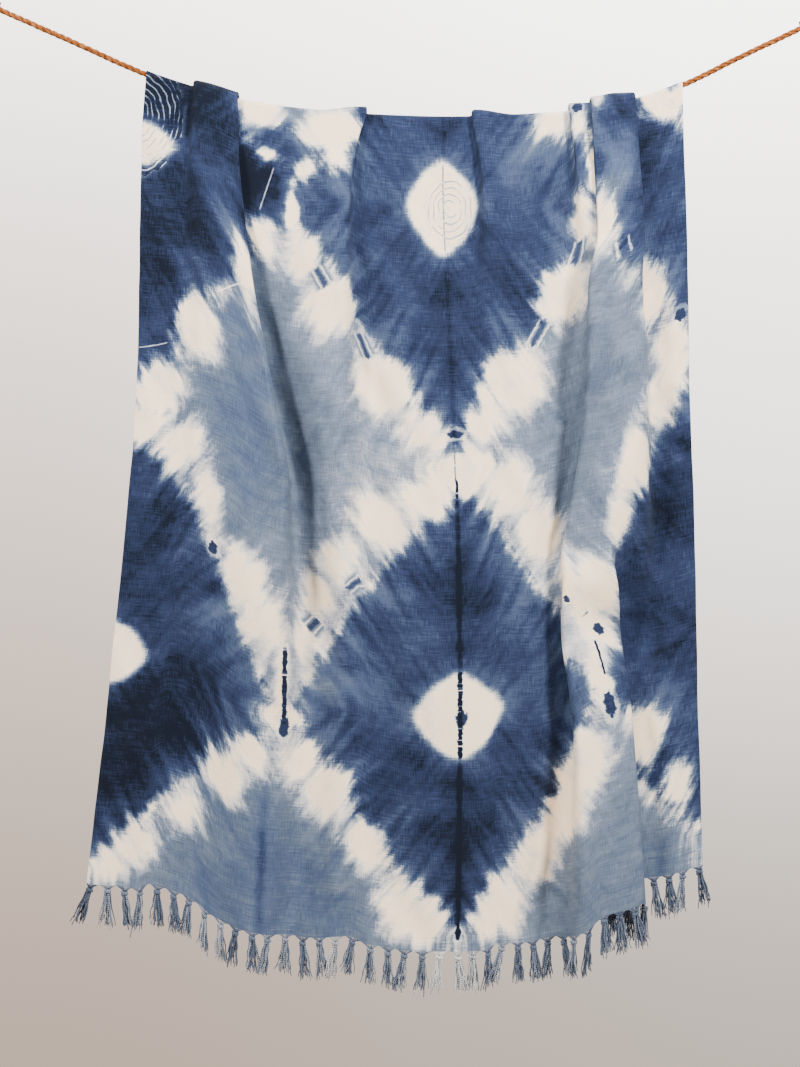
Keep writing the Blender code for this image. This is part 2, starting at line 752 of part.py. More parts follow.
def seizing_mesh(end):
    """The bound throat of the eye: an oval barrel, a little fuller in its middle."""
    start, out, up = eye_frame(end)
    side = np.array([0.0, -1.0, 0.0])
    solid = bmesh.new()
    rings = []
    for along, share in SEIZING_RINGS:
        middle = start + out * (TOUCH_GAP + SEIZING_LENGTH * along)
        row = []
        for i in range(SEIZING_SIDES):
            a = 2 * math.pi * i / SEIZING_SIDES
            across = up * SEIZING_HALF_WIDTH * math.cos(a) + side * SEIZING_HALF_DEPTH * math.sin(a)
            row.append(solid.verts.new(middle + across * share))
        rings.append(row)
    for upper, lower in zip(rings, rings[1:]):
        join_rings(solid, upper, lower)
    solid.faces.new(rings[0])
    solid.faces.new(rings[-1][::-1])
    bmesh.ops.recalc_face_normals(solid, faces=solid.faces)
    mesh = bpy.data.meshes.new("seizing")
    solid.to_mesh(mesh)
    solid.free()
    return mesh


def build_eye(name, end, look, collection, helpers, parent):
    loop = bpy.data.objects.new(name + "_loop", tube_mesh(name + "_loop", eye_path(end), ROPE_RADIUS))
    helpers.objects.link(loop)
    loop.parent = parent
    loop.hide_render = True
    loop.display_type = "WIRE"
    eye = bpy.data.objects.new(name, seizing_mesh(end))
    eye.data.materials.append(look)
    collection.objects.link(eye)
    eye.parent = parent
    join = eye.modifiers.new("loop", "BOOLEAN")
    join.operation = "UNION"
    join.object = loop


def main():
    for old in list(bpy.data.objects):
        bpy.data.objects.remove(old)
    collection = bpy.data.collections.new("dyed_throw_on_rope")
    helpers = bpy.data.collections.new("helpers")
    bpy.context.scene.collection.children.link(collection)
    bpy.context.scene.collection.children.link(helpers)
    frame = bpy.data.objects.new("hanging_frame", None)
    collection.objects.link(frame)
    frame.location = -eye_middle(0)
    tables = all_sections()
    places = column_places()
    hem = build_cloth(tables, places, collection, frame)
    build_fringe(hem[:, :3], hem[:, 3], collection, frame)
    look = build_rope(collection, frame)
    build_eye("rope_eye_left", 0, look, collection, helpers, frame)
    build_eye("rope_eye_right", -1, look, collection, helpers, frame)


main()
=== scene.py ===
"""Looks of a shibori dyed throw that hangs over a coir rope. Metres, +Z up, the throw's front faces -Y."""

import math
from collections import namedtuple

import bpy
import numpy as np
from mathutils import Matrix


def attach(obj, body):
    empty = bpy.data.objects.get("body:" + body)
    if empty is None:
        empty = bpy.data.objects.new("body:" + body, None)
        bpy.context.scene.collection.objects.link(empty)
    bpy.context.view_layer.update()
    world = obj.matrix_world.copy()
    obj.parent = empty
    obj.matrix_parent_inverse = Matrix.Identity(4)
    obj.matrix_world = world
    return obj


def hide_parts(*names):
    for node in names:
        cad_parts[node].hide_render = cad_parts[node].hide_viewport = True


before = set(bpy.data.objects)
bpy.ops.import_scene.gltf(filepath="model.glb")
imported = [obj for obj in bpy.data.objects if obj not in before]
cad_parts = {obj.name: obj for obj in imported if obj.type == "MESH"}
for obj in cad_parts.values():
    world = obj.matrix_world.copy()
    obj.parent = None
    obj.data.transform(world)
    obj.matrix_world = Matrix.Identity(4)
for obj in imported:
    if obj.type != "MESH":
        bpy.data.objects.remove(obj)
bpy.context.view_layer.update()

bl_info = {
    "name": "Dyed Throw on a Rope",
    "version": (1, 0, 0),
    "blender": (4, 5, 0),
    "location": "3D View > Sidebar > Throw",
    "description": "Builds a resist dyed cotton throw with a knotted fringe, hung over a coir rope",
    "category": "Object",
}

# The pieces are worked out about the middle of the throw, then moved here: the rope's left eye is the origin
THROW_MIDDLE = np.array([0.7869492, 0.0, -0.99335155])
BODY = "root"
DOWN = np.array([0.0, 0.0, -1.0])
RIGHTWARD = np.array([1.0, 0.0, 0.0])
FRONTWARD = np.array([0.0, -1.0, 0.0])


def table_of(kind, *values):
    """A table whose rows are all of one kind."""
    return [kind(*row) for row in values]


def on_cloth(kind, *values):
    """A table of marks on the flat cloth: middle and half sizes, given in millimetres, and the rest."""
    return [kind(*(value / 1000 for value in row[:4]), *row[4:]) for row in values]


# The rope and its eyes
ROPE_RADIUS = 0.0055
REST_GAP = 0.0005
TOUCH_GAP = 0.0003
EYE_LENGTH = 0.042
EYE_HALF_WIDTH = 0.0150
EYE_LEG_SPREAD = 0.0058
EYE_FULLEST = 1.3
EYE_STEPS = 60
EYE_LEG_IN_SEIZING = 0.012
SEIZING_LENGTH = 0.020
SEIZING_HALF_WIDTH = 0.0128
SEIZING_HALF_DEPTH = 0.0068
TWINE_TURNS = 9
TWINE_RADIUS = 0.00125
TWINE_MARGIN = 0.0012
ROPE_STEP = 0.0035
PATH_EVERY = 8
STRANDS = 3
STRAND_RADIUS = 0.0029
STRAND_OFFSET = 0.0026
FIBRES = 900
FIBRE_ROOT = 0.0046
FIBRE_RADIUS = 0.00016
EYE_SAMPLES = 70
TWINE_SAMPLES = 20
# Sides of the tubes
STRAND_SIDES = 8
TWINE_SIDES = 7
YARN_SIDES = 5
FIBRE_SIDES = 3

# The fringe: warp ends gathered in a knot, and the loose yarns below it
TASSEL_INSET = 0.008
WARP_ENDS = 9
WARP_REACH = 0.0125
WARP_RADII = (0.0008, 0.0009, 0.0010, 0.0010)
WARP_IN_HEM = 0.0010
HEM_INSET = 0.0005
KNOT_DROP = 0.0070
KNOT_TURNS = 1.7
KNOT_LENGTH = 0.0078
KNOT_HALF_WIDTH = 0.0040
KNOT_HALF_DEPTH = 0.0034
KNOT_HIDES = 0.0060
KNOT_SAMPLES = 28
YARN_SAMPLES = 14
YARN_RADIUS = 0.00118
GOLDEN_TURN = 0.382
YARN_DEPTH = 0.52
# Tassels whose yarns took less or more dye than the rest, by their number from the left
TASSEL_TONES = {0: 0.78, 1: 0.42, 21: 0.10, 22: 0.16, 23: 0.30, 38: 0.70}

# The rope's route, from eye to eye
RoutePoint = namedtuple("RoutePoint", "x z")
ROUTE = table_of(
    RoutePoint,
    (-0.7461, 0.9753), (-0.6058, 0.9133), (-0.4710, 0.8537), (-0.3879, 0.8256), (-0.3011, 0.8016),
    (-0.1847, 0.7841), (-0.0683, 0.7739), (0.0924, 0.7687), (0.2216, 0.7730), (0.3546, 0.7831),
    (0.4377, 0.8016), (0.5245, 0.8334), (0.6316, 0.8856), (0.7460, 0.9397),
)

# Length of the front fall, from the crest of the rope to the hem, across the flat cloth
FallPoint = namedtuple("FallPoint", "across length")
FRONT_FALL = table_of(
    FallPoint,
    (0.00, 1.510), (0.10, 1.490), (0.18, 1.497), (0.25, 1.525), (0.34, 1.535), (0.46, 1.538), (0.60, 1.551),
    (0.74, 1.546), (0.86, 1.526), (0.96, 1.488), (1.03, 1.482), (1.12, 1.478), (1.16, 1.450), (1.20, 1.446),
    (1.30, 1.455),
)

# Where four lines of the flat cloth hang, by their drop below the rope: x of each
HangRow = namedtuple("HangRow", "drop left_selvedge quarter_line middle_line right_selvedge")
HANG_LINES = (0.0, 0.325, 0.65, 1.30)
HANG = table_of(
    HangRow,
    (0.00, -0.4710, -0.2032, 0.0794, 0.5245), (0.12, -0.4795, -0.2059, 0.0798, 0.5273),
    (0.30, -0.4830, -0.2087, 0.0864, 0.5332), (0.55, -0.4876, -0.2087, 0.0979, 0.5371),
    (0.85, -0.5101, -0.2032, 0.1077, 0.5472), (1.10, -0.5356, -0.2161, 0.1099, 0.5522),
    (1.50, -0.5811, -0.2475, 0.1062, 0.5633),
)

# Folds. At each drop: the fold's middle on the flat cloth, half the cloth it bends, the width it takes up,
# and the share of it that lies straight between its two turns. RIGHT_IN_FRONT brings the cloth forward.
# Each fold also has the mesh's steps in each of its turns, and across the panel on its left.
RIGHT_IN_FRONT = 1.0
LEFT_IN_FRONT = -1.0
FoldRow = namedtuple("FoldRow", "drop middle half take_up straight")
Fold = namedtuple("Fold", "front turn_steps panel_steps rows")
FOLDS = {
    "left_ridge_left_edge": Fold(RIGHT_IN_FRONT, 6, 10, table_of(
        FoldRow,
        (0.00, 0.098, 0.0120, 0.010, 0.10), (0.12, 0.098, 0.0150, 0.008, 0.05),
        (0.22, 0.100, 0.0240, 0.004, 0.00), (0.40, 0.100, 0.0300, 0.000, 0.00),
    )),
    "left_ridge_right_edge": Fold(LEFT_IN_FRONT, 8, 10, table_of(
        FoldRow,
        (0.00, 0.200, 0.0130, 0.031, 0.40), (0.12, 0.207, 0.0150, 0.034, 0.35),
        (0.30, 0.226, 0.0200, 0.042, 0.30), (0.55, 0.277, 0.0300, 0.044, 0.20),
        (0.85, 0.335, 0.0420, 0.030, 0.10), (1.10, 0.345, 0.0500, 0.009, 0.00),
        (1.50, 0.345, 0.0500, 0.003, 0.00),
    )),
    "middle_left_pleat": Fold(LEFT_IN_FRONT, 7, 14, table_of(
        FoldRow,
        (0.00, 0.482, 0.0130, 0.028, 0.35), (0.05, 0.466, 0.0140, 0.026, 0.30),
        (0.12, 0.458, 0.0180, 0.022, 0.20), (0.30, 0.455, 0.0300, 0.014, 0.05),
        (0.55, 0.455, 0.0400, 0.008, 0.00), (0.90, 0.460, 0.0450, 0.002, 0.00),
    )),
    "middle_right_pleat": Fold(RIGHT_IN_FRONT, 6, 26, table_of(
        FoldRow,
        (0.00, 0.712, 0.0120, 0.011, 0.10), (0.12, 0.727, 0.0150, 0.009, 0.05),
        (0.25, 0.722, 0.0240, 0.004, 0.00), (0.45, 0.720, 0.0300, 0.000, 0.00),
    )),
    "small_right_pleat": Fold(RIGHT_IN_FRONT, 6, 16, table_of(
        FoldRow,
        (0.00, 0.922, 0.0130, 0.024, 0.30), (0.08, 0.922, 0.0160, 0.018, 0.20),
        (0.20, 0.918, 0.0280, 0.008, 0.05), (0.45, 0.895, 0.0330, 0.002, 0.00),
        (0.70, 0.870, 0.0200, 0.000, 0.00), (1.00, 0.820, 0.0200, 0.000, 0.00),
        (1.50, 0.790, 0.0200, 0.000, 0.00),
    )),
    "right_ridge_left_edge": Fold(RIGHT_IN_FRONT, 10, 6, table_of(
        FoldRow,
        (0.00, 1.027, 0.0240, 0.075, 0.55), (0.18, 1.023, 0.0290, 0.090, 0.55),
        (0.33, 1.026, 0.0470, 0.148, 0.58), (0.50, 1.030, 0.0520, 0.165, 0.60),
        (0.75, 0.991, 0.0520, 0.165, 0.60), (0.86, 0.956, 0.0440, 0.136, 0.58),
        (1.00, 0.903, 0.0330, 0.090, 0.45), (1.15, 0.893, 0.0300, 0.046, 0.15),
        (1.50, 0.868, 0.0450, 0.018, 0.00),
    )),
    "lobe_edge": Fold(LEFT_IN_FRONT, 9, 4, table_of(
        FoldRow,
        (0.00, 1.090, 0.0150, 0.000, 0.00), (0.33, 1.115, 0.0200, 0.000, 0.00),
        (0.68, 1.120, 0.0300, 0.000, 0.00), (0.81, 1.118, 0.0260, 0.003, 0.05),
        (0.89, 1.102, 0.0260, 0.052, 0.40), (1.00, 1.071, 0.0400, 0.120, 0.55),
        (1.20, 1.063, 0.0480, 0.145, 0.58), (1.50, 1.067, 0.0520, 0.158, 0.58),
    )),
    "right_ridge_right_edge": Fold(LEFT_IN_FRONT, 9, 4, table_of(
        FoldRow,
        (0.00, 1.152, 0.0240, 0.075, 0.55), (0.21, 1.160, 0.0260, 0.078, 0.50),
        (0.33, 1.182, 0.0260, 0.040, 0.15), (0.50, 1.205, 0.0300, 0.020, 0.00),
        (0.75, 1.205, 0.0300, 0.012, 0.00), (0.95, 1.205, 0.0300, 0.000, 0.00),
    )),
}
LAST_PANEL_STEPS = 10
LEAST_FLAT_SHARE = 0.3
LEAST_TAKE_UP = 0.0001

# Soft swells and hollows of the hanging cloth: place, reach each way, and height towards the front
Swell = namedtuple("Swell", "across drop half_across half_drop height")
SWELLS = table_of(
    Swell,
    (0.10, 1.10, 0.16, 0.70, 0.012), (0.62, 1.05, 0.30, 0.80, 0.022), (0.46, 1.52, 0.12, 0.50, 0.010),
    (0.20, 1.52, 0.10, 0.45, -0.004), (1.213, 1.45, 0.035, 0.35, -0.006), (1.05, 0.60, 0.10, 0.40, 0.008),
    (0.306, 1.40, 0.022, 0.30, -0.005),
)
SWELL_FULL_DROP = 0.5

# Ripples: the lengths of the waves, how many there are of each, and how high they are for their length
RIPPLE_SIZES = (0.16, 0.09, 0.05, 0.03)
RIPPLE_WAVES = 7
RIPPLE_HEIGHT = 0.0075
# They fade out towards this share of the length, where the rope presses the cloth flat
RIPPLES_END = 0.84
RIPPLES_FADE = 0.10

# How far the pleats stand up: pressed flatter on the rope than below it
LOFT_ON_ROPE = 0.75
LOFT_BELOW = 0.88
LOFT_FULL_DROP = 0.16
RELAX_PER_RISE = 5.0
RELAX_LEAST = 0.05

# Behind a fold's lip the cloth hangs hollow: how deep, as a share of the fold's rise, and how wide
Hollow = namedtuple("Hollow", "share width")
HOLLOWS = {
    "left_ridge_right_edge": Hollow(0.95, 0.075),
    "middle_left_pleat": Hollow(0.60, 0.060),
    "right_ridge_left_edge": Hollow(0.80, 0.070),
    "lobe_edge": Hollow(0.25, 0.060),
    "right_ridge_right_edge": Hollow(0.60, 0.060),
}
NO_HOLLOW = Hollow(0.0, 0.06)
HOLLOW_FROM = 0.16
HOLLOW_FULL = 0.42

# Rows of the sheet's mesh, and the sampling of its sections
FRONT_ROWS = 160
WRAP_ROWS = 8
BACK_ROWS = 24
ACROSS_SAMPLES = 1301
SWING_SAMPLES = 90
SHARE_SAMPLES = 81
LEVEL_STEP = 0.01
LEVELS = np.arange(0.0, 1.6001, LEVEL_STEP)
DROP_ROUNDS = 6
SLOPE_PROBE = 0.002
MOST_SWING = 3.05

# The dye's lattice: half repeats across, and where each row of crossings and dots lies along the cloth
LatticeColumn = namedtuple("LatticeColumn", "across below_hem dots crossings upper_dots over_rope far_end")
LATTICE = table_of(
    LatticeColumn,
    (0.000, 0.030, 0.430, 0.885, 1.374, 1.760, 2.250), (0.325, -0.030, 0.400, 0.885, 1.345, 1.800, 2.250),
    (0.650, 0.030, 0.437, 0.895, 1.377, 1.850, 2.300), (0.975, -0.030, 0.400, 0.870, 1.335, 1.800, 2.250),
    (1.300, 0.060, 0.450, 0.915, 1.405, 1.850, 2.300),
)
LATTICE_ROWS = (-1.0, 0.0, 1.0, 2.0, 3.0, 4.0)
LATTICE_SCALE = 0.26
# The undyed bands: half their width, how much that grows towards the front hem, from where and in what length
BAND_HALF_WIDTH = -0.002
BAND_WIDER_LOW = 0.005
BAND_WIDER_FROM = 0.50
BAND_WIDER_WITHIN = 0.20
# Edges are crisper where the cloth was drawn up tighter under the rope, round the first stain
TIGHTER = 1.0
TIGHTER_WITHIN = 0.03

# Places that the binding kept undyed: middle, half sizes, and turn to the left in degrees
Blob = namedtuple("Blob", "across along half_across half_along turn")
BLOBS = on_cloth(
    Blob,
    (352, 1263, 37, 42, 0), (414, 1166, 52, 46, 20), (518, 1042, 58, 56, 30), (596, 966, 44, 38, 0),
    (268, 1512, 50, 26, 0), (402, 1494, 62, 34, 0), (420, 1446, 24, 30, 0), (284, 1436, 17, 10, 0),
    (358, 1420, 16, 20, 0), (334, 1336, 13, 54, 6), (280, 1280, 30, 36, 20), (114, 1040, 40, 62, 15),
    (204, 1168, 18, 54, 12), (42, 925, 45, 56, 0), (88, 813, 43, 42, 0), (14, 852, 40, 44, 0),
    (152, 723, 24, 50, 20), (236, 632, 40, 50, 15), (280, 568, 34, 44, 0), (320, 480, 13, 75, 0),
    (356, 400, 14, 26, 0), (298, 400, 16, 30, 0), (665, 886, 66, 42, 0), (598, 835, 50, 42, 0),
    (512, 782, 56, 42, -35), (440, 700, 34, 40, 0), (398, 632, 28, 36, 0), (372, 552, 25, 38, 0),
    (928, 1287, 26, 44, 0), (1058, 1240, 24, 50, 0), (870, 1183, 52, 50, -20), (772, 1044, 60, 60, -30),
    (712, 974, 42, 40, 0), (960, 1361, 9, 52, 0), (874, 1508, 36, 26, 0), (946, 1444, 12, 22, 0),
    (1256, 1430, 46, 28, -20), (1290, 1414, 22, 40, 0), (1216, 1081, 43, 62, 0), (1268, 960, 32, 78, 0),
    (1240, 878, 38, 48, 0), (1164, 767, 30, 64, -10), (1130, 681, 20, 44, 0), (1050, 575, 34, 50, -30),
    (748, 845, 52, 48, 0), (816, 755, 42, 58, 25), (905, 668, 44, 46, 30), (990, 600, 32, 50, 0),
    (1006, 520, 34, 54, 0), (984, 430, 20, 50, 0), (906, 290, 64, 56, 0), (1090, 335, 50, 40, 20),
    (1186, 267, 46, 56, 0), (1258, 162, 30, 44, 0), (864, 228, 58, 46, 0), (800, 160, 48, 48, -20),
    (730, 72, 45, 56, -10), (585, 62, 48, 46, 0), (270, 322, 36, 36, 0), (224, 258, 38, 36, -30),
    (156, 155, 36, 32, 0), (76, 80, 38, 40, -20), (28, 35, 30, 26, 0), (366, 322, 40, 40, 0),
    (420, 266, 42, 48, 30), (492, 175, 38, 38, 0), (550, 85, 34, 45, 0), (330, 1690, 50, 60, 0),
    (950, 1690, 50, 60, 0),
)
# How softly they run together
BLOB_JOIN = 0.006

# Dark places beyond the dark diamonds, where the cloth was gathered under the rope's line. The second is
# painted shadow: the shade of the left ridge's fold just right of its lip, drawn as dark dye.
STAINS = on_cloth(
    Blob,
    (325, 1405, 70, 100, 0), (214, 1255, 16, 50, 8), (965, 1400, 60, 110, 0),
)

# Dark gaps that the dye reached between two undyed places. The fifth is painted shadow of the left ridge's
# fold just right of its lip, drawn as a dyed gap.
GAPS = on_cloth(
    Blob,
    (322, 1476, 7, 60, 0), (274, 1468, 40, 15, -8), (322, 1410, 14, 36, 0), (262, 1388, 40, 32, 0),
    (214, 1250, 13, 42, 8), (308, 1318, 9, 34, 20), (305, 1385, 12, 30, 0), (905, 1470, 14, 50, 0),
)

# Undyed dots in the middle of the dark diamonds, between round and square
DOTS = on_cloth(
    Blob,
    (647, 1378, 70, 88, 0), (650, 437, 82, 80, 0), (0, 1374, 63, 40, 0), (0, 430, 64, 58, 0),
)
DOT_POWER = 1.45

# Deeper and paler clouds of dye: middle, half sizes, turn, and how much deeper. The second is dark dye
# deepened with painted shade just right of the left ridge's lip; the third is painted shadow of that fold
# further down.
Cloud = namedtuple("Cloud", "across along half_across half_along turn deeper")
CLOUDS = on_cloth(
    Cloud,
    (60, 1280, 200, 400, 0, 0.20), (240, 1375, 20, 130, 8, 0.44), (216, 1250, 14, 60, 8, 0.50),
    (40, 1470, 70, 60, 0, 0.26), (60, 250, 90, 160, 0, 0.14), (1200, 1420, 70, 120, 0, 0.12),
    (275, 1390, 60, 100, 0, 0.24), (308, 130, 9, 170, 2, 0.16), (50, 600, 200, 300, 0, 0.12),
    (60, 300, 200, 220, 0, 0.14), (832, 1482, 70, 100, -20, -0.30), (1100, 1330, 30, 110, -15, -0.26),
    (170, 1250, 34, 100, 25, -0.30), (1255, 650, 100, 240, 0, 0.12), (1240, 1320, 120, 200, 0, 0.07),
    (470, 1300, 100, 200, 0, -0.08), (780, 560, 100, 160, 20, -0.10), (480, 500, 100, 160, -20, -0.10),
    (650, 680, 35, 200, 0, 0.16), (650, 210, 35, 200, 0, 0.16), (600, 200, 140, 180, 0, 0.02),
    (180, 500, 100, 100, 0, -0.12), (350, 120, 340, 260, 0, 0.09), (1000, 100, 340, 240, 0, 0.02),
    (1250, 50, 120, 120, 0, 0.08), (480, 900, 100, 140, 0, -0.07), (200, 900, 70, 200, 0, 0.06),
    (930, 470, 50, 70, 20, 0.10), (1000, 480, 160, 50, 0, -0.22), (430, 470, 90, 60, -10, -0.22),
    (180, 520, 110, 50, 20, -0.18), (650, 1230, 50, 300, 0, 0.08),
)
# How fast a cloud thins out
CLOUD_FALL = 1.2

# Dark bars edged with pale lines, where a binding held the cloth. Each changes the dye only this near to it.
BARS = on_cloth(
    Blob,
    (392, 1221, 7, 20, 30), (482, 1103, 7, 21, 30), (822, 1125, 8, 24, -36), (902, 1244, 8.5, 19, -28),
    (1112, 1180, 8.5, 19, 28), (386, 578, 8.5, 13, -45), (464, 652, 6, 16, -50),
)
BAR_NEAR = 0.032

# Small dark blots where a knot let the dye in
KNOTS = on_cloth(
    Blob,
    (330, 385, 10, 20, 0), (988, 372, 11, 24, 0), (1010, 502, 10, 11, 0), (980, 564, 6, 6, 0),
    (654, 958, 16, 8, 0), (172, 645, 10, 11, 20), (654, 433, 11, 16, 0), (946, 1480, 10, 12, 0),
    (1285, 1026, 12, 12, 0), (651, 34, 6, 12, 0),
)
KNOT_NEAR = 0.023

# Stitched lines: middle, half sizes, turn, and how dark the drawn-up thread left the line, or how pale
Stitch = namedtuple("Stitch", "across along half_across half_along turn dark")
STITCHES = on_cloth(
    Stitch,
    (651, 440, 5.2, 82, 0, 1), (651, 72, 3.4, 30, 0, 1), (652, 850, 3, 24, 0, 1), (326, 455, 5, 76, 3, 1),
    (992, 455, 2.2, 30, 0, 1), (650, 1378, 1.6, 80, 0, 0.35), (650, 900, 1.6, 40, 0, 0.35),
    (283, 1372, 1.4, 45, -16, -1), (176, 1128, 1.4, 30, -50, -1), (28, 1002, 1.4, 28, -76, -1),
)
STITCH_NEAR = 0.022

# Rings of fine pale lines round a stitched place: middle, how far they reach, and how squashed they are
Rings = namedtuple("Rings", "across along reach squash")
RINGS = table_of(
    Rings,
    (-0.012, 1.426, 0.092, 0.80), (0.662, 1.376, 0.052, 0.80),
)

# Noises on the cloth: the field they follow, how often they change across and along it, and their detail
Noise = namedtuple("Noise", "field across along detail")
NOISES = {
    # Threads: real ones are 0.8 mm apart, drawn about 1.4 mm apart so that they show
    "warp": Noise("flat", 720.0, 42.0, 2.0),
    "weft": Noise("flat", 42.0, 720.0, 2.0),
    "slub": Noise("flat", 12.0, 260.0, 2.0),
    # Feathers of dye that ran along the gathers, 10 to 20 mm wide and 50 mm long, and longer fans
    "feather": Noise("gather", 58.0, 13.0, 2.0),
    "fan": Noise("gather", 30.0, 4.0, 2.0),
    "flow": Noise("flat", 5.0, 20.0, 3.0),
    "fine": Noise("gather", 190.0, 40.0, 3.0),
    # Patches and clouds where the cloth lay unevenly in the vat
    "patch": Noise("flat", 26.0, 26.0, 3.0),
    "soft": Noise("flat", 8.0, 8.0, 3.0),
    "streak": Noise("flat", 7.0, 60.0, 2.0),
    "ragged": Noise("flat", 120.0, 120.0, 2.0),
    "waver": Noise("flat", 30.0, 30.0, 1.0),
    "dashes": Noise("flat", 1.0, 130.0, 1.0),
}
NOISE_MIDDLE = 0.5
# How closely the rings lie, and where the crease runs up the cloth
RING_WAVES = 640.0
CREASE_LINE = 0.651

# Kinds of nodes. RISE and SMOOTH turn a value between two limits into one from 0 to 1, or between two others.
Kind = namedtuple("Kind", "type settings")
PLUS, LESS, TIMES, TIMES_PLUS, SIZE, LARGER, SMALLER, SINE = (
    Kind("Math", {"operation": name})
    for name in ("ADD", "SUBTRACT", "MULTIPLY", "MULTIPLY_ADD", "ABSOLUTE", "MAXIMUM", "MINIMUM", "SINE")
)
STRETCH, LENGTH = (Kind("VectorMath", {"operation": name}) for name in ("MULTIPLY", "LENGTH"))
RISE, SMOOTH = (Kind("MapRange", {"interpolation_type": name}) for name in ("LINEAR", "SMOOTHSTEP"))
MIX, MIX_COLOURS = (Kind("Mix", {"data_type": name}) for name in ("FLOAT", "RGBA"))
NOISE, RAMP, SPLIT, JOIN, BUMP, PLACE = (
    Kind(name, {}) for name in ("TexNoise", "ValToRGB", "SeparateXYZ", "CombineXYZ", "Bump", "TexCoord")
)
# The output of a mix that gives a colour
COLOUR_OUT = 2

# The camera stands level with the middle of the throw
CAMERA_LENS = 50.0
CAMERA_SENSOR = 36.0
CAMERA_Y = -2.7575

# The soft lights: where each is, what it points at, its side, and its power in watts
Light = namedtuple("Light", "name place aim size power")
LIGHTS = table_of(
    Light,
    ("key_light", (3.1, -2.5, 0.8), (0.8, 0.0, -0.9), 0.7, 290.0),
    ("left_light", (-1.7, -2.3, 0.6), (0.8, 0.0, -0.9), 0.7, 180.0),
    ("top_light", (0.9, -1.6, 1.7), (0.8, 0.0, -0.6), 1.0, 95.0),
)

# The pale wall behind the throw, from low to high, on the left and on the right, and the dimmer room in
# front. The wall's tones are painted light and shade: darker low down and on the left, palest high on the
# right.
SHADED_WALL_TONES = (
    ("#5A4E45", "#625750", "#736961", "#8A8079", "#A09893", "#DAD4D1"),
    ("#5C5650", "#68625C", "#8E8883", "#AEA9A5", "#BEBAB6", "#F6F4F1"),
)
ROOM_TONE = "#302E2B"
ROOM_STRENGTH = 7.0
FLOOR_HALF_WIDTH = 1.3
FLOOR_HALF_DEPTH = 0.8
FLOOR_HEIGHT = -2.35


def linear(code):
    """Linear colour of an sRGB hex value."""
    channels = [int(code[i : i + 2], 16) / 255 for i in (1, 3, 5)]
    return [c / 12.92 if c <= 0.04045 else ((c + 0.055) / 1.055) ** 2.4 for c in channels] + [1.0]


def measure(name, description, default, least, most):
    return bpy.props.FloatProperty(
        name=name, description=description, default=default, min=least, max=most, unit="LENGTH"
    )


def count(name, description, default, least, most):
    return bpy.props.IntProperty(name=name, description=description, default=default, min=least, max=most)


def colour(name, description, code):
    return bpy.props.FloatVectorProperty(
        name=name, description=description, default=linear(code)[:3], subtype="COLOR", size=3
    )


class ThrowSettings(bpy.types.PropertyGroup):
    width: measure("Width", "Width of the flat cloth from selvedge to selvedge", 1.30, 1.0, 1.6)
    length: measure("Length", "Length of the flat cloth from hem to hem", 1.80, 1.7, 2.2)
    thickness: measure("Thickness", "Thickness of the woven cloth", 0.0012, 0.0005, 0.003)
    undyed: colour("Undyed cotton", "Colour of the cotton where the binding kept the dye out", "#FFE3C0")
    light_dye: colour("Light dye", "Colour of the diamonds that were dipped once", "#6A7586")
    dark_dye: colour("Dark dye", "Colour of the diamonds that were dipped many times", "#242D48")


class FringeSettings(bpy.types.PropertyGroup):
    tassels: count("Tassels", "Number of knotted tassels along the front hem", 45, 10, 80)
    drop: measure("Drop", "How far the tassels hang below the hem", 0.070, 0.03, 0.12)
    yarns: count("Yarns", "Number of twisted yarns in each tassel", 22, 4, 24)
    yarn: colour("Yarn", "Colour of the dyed yarns", "#525C6E")


class RopeSettings(bpy.types.PropertyGroup):
    lay: measure("Lay", "Length of rope in which a strand goes round once", 0.042, 0.02, 0.08)
    fibre: colour("Coir", "Colour of the rope's fibre", "#84491F")


def ease(value):
    """Smooth step from 0 to 1."""
    t = np.clip(value, 0.0, 1.0)
    return t * t * (3 - 2 * t)


def smooth_through(xs, ys, at):
    """A smooth curve through the given points that doesn't overshoot between them."""
    xs = np.asarray(xs, float)
    ys = np.asarray(ys, float)
    rises = np.diff(ys) / np.diff(xs)
    before = rises[:-1]
    after = rises[1:]
    same_way = before * after > 0
    total = np.where(same_way, before + after, 1.0)
    inner = np.where(same_way, 2 * before * after / total, 0.0)
    slopes = np.concatenate([rises[:1], inner, rises[-1:]])
    at = np.clip(at, xs[0], xs[-1])
    i = np.clip(np.searchsorted(xs, at, side="right") - 1, 0, len(xs) - 2)
    width = xs[i + 1] - xs[i]
    t = (at - xs[i]) / width
    return (
        ys[i] * (1 + 2 * t) * (1 - t) ** 2
        + ys[i + 1] * t * t * (3 - 2 * t)
        + slopes[i] * width * t * (1 - t) ** 2
        - slopes[i + 1] * width * t * t * (1 - t)
    )


def rope_height(x):
    """Height of the rope's middle line."""
    return smooth_through(*zip(*ROUTE), x)


def rope_slope(x):
    """Rise of the rope for each metre across."""
    return (rope_height(x + SLOPE_PROBE) - rope_height(x - SLOPE_PROBE)) / (2 * SLOPE_PROBE)


def front_fall(across):
    return smooth_through(*zip(*FRONT_FALL), across)


def table_at(table, drop):
    """The columns of a table of drops, but for the first, at this drop."""
    drops, *others = zip(*table)
    return [smooth_through(drops, column, drop) for column in others]


def fold_share(distance, straight):
    """1 in the straight middle of a fold, easing to 0 at its ends, where distance is 1."""
    return 1 - ease((np.abs(distance) - straight) / (1 - straight))


def fold_swing(take_up_share, straight):
    """The angle that a fold turns through to take up this share of the cloth it bends."""
    distance = np.linspace(-1, 1, SHARE_SAMPLES)
    share = fold_share(distance, straight)
    angles = np.linspace(0, MOST_SWING, SWING_SAMPLES)
    taken = [np.mean(1 - np.cos(angle * share)) for angle in angles]
    return float(np.interp(take_up_share, taken, angles))


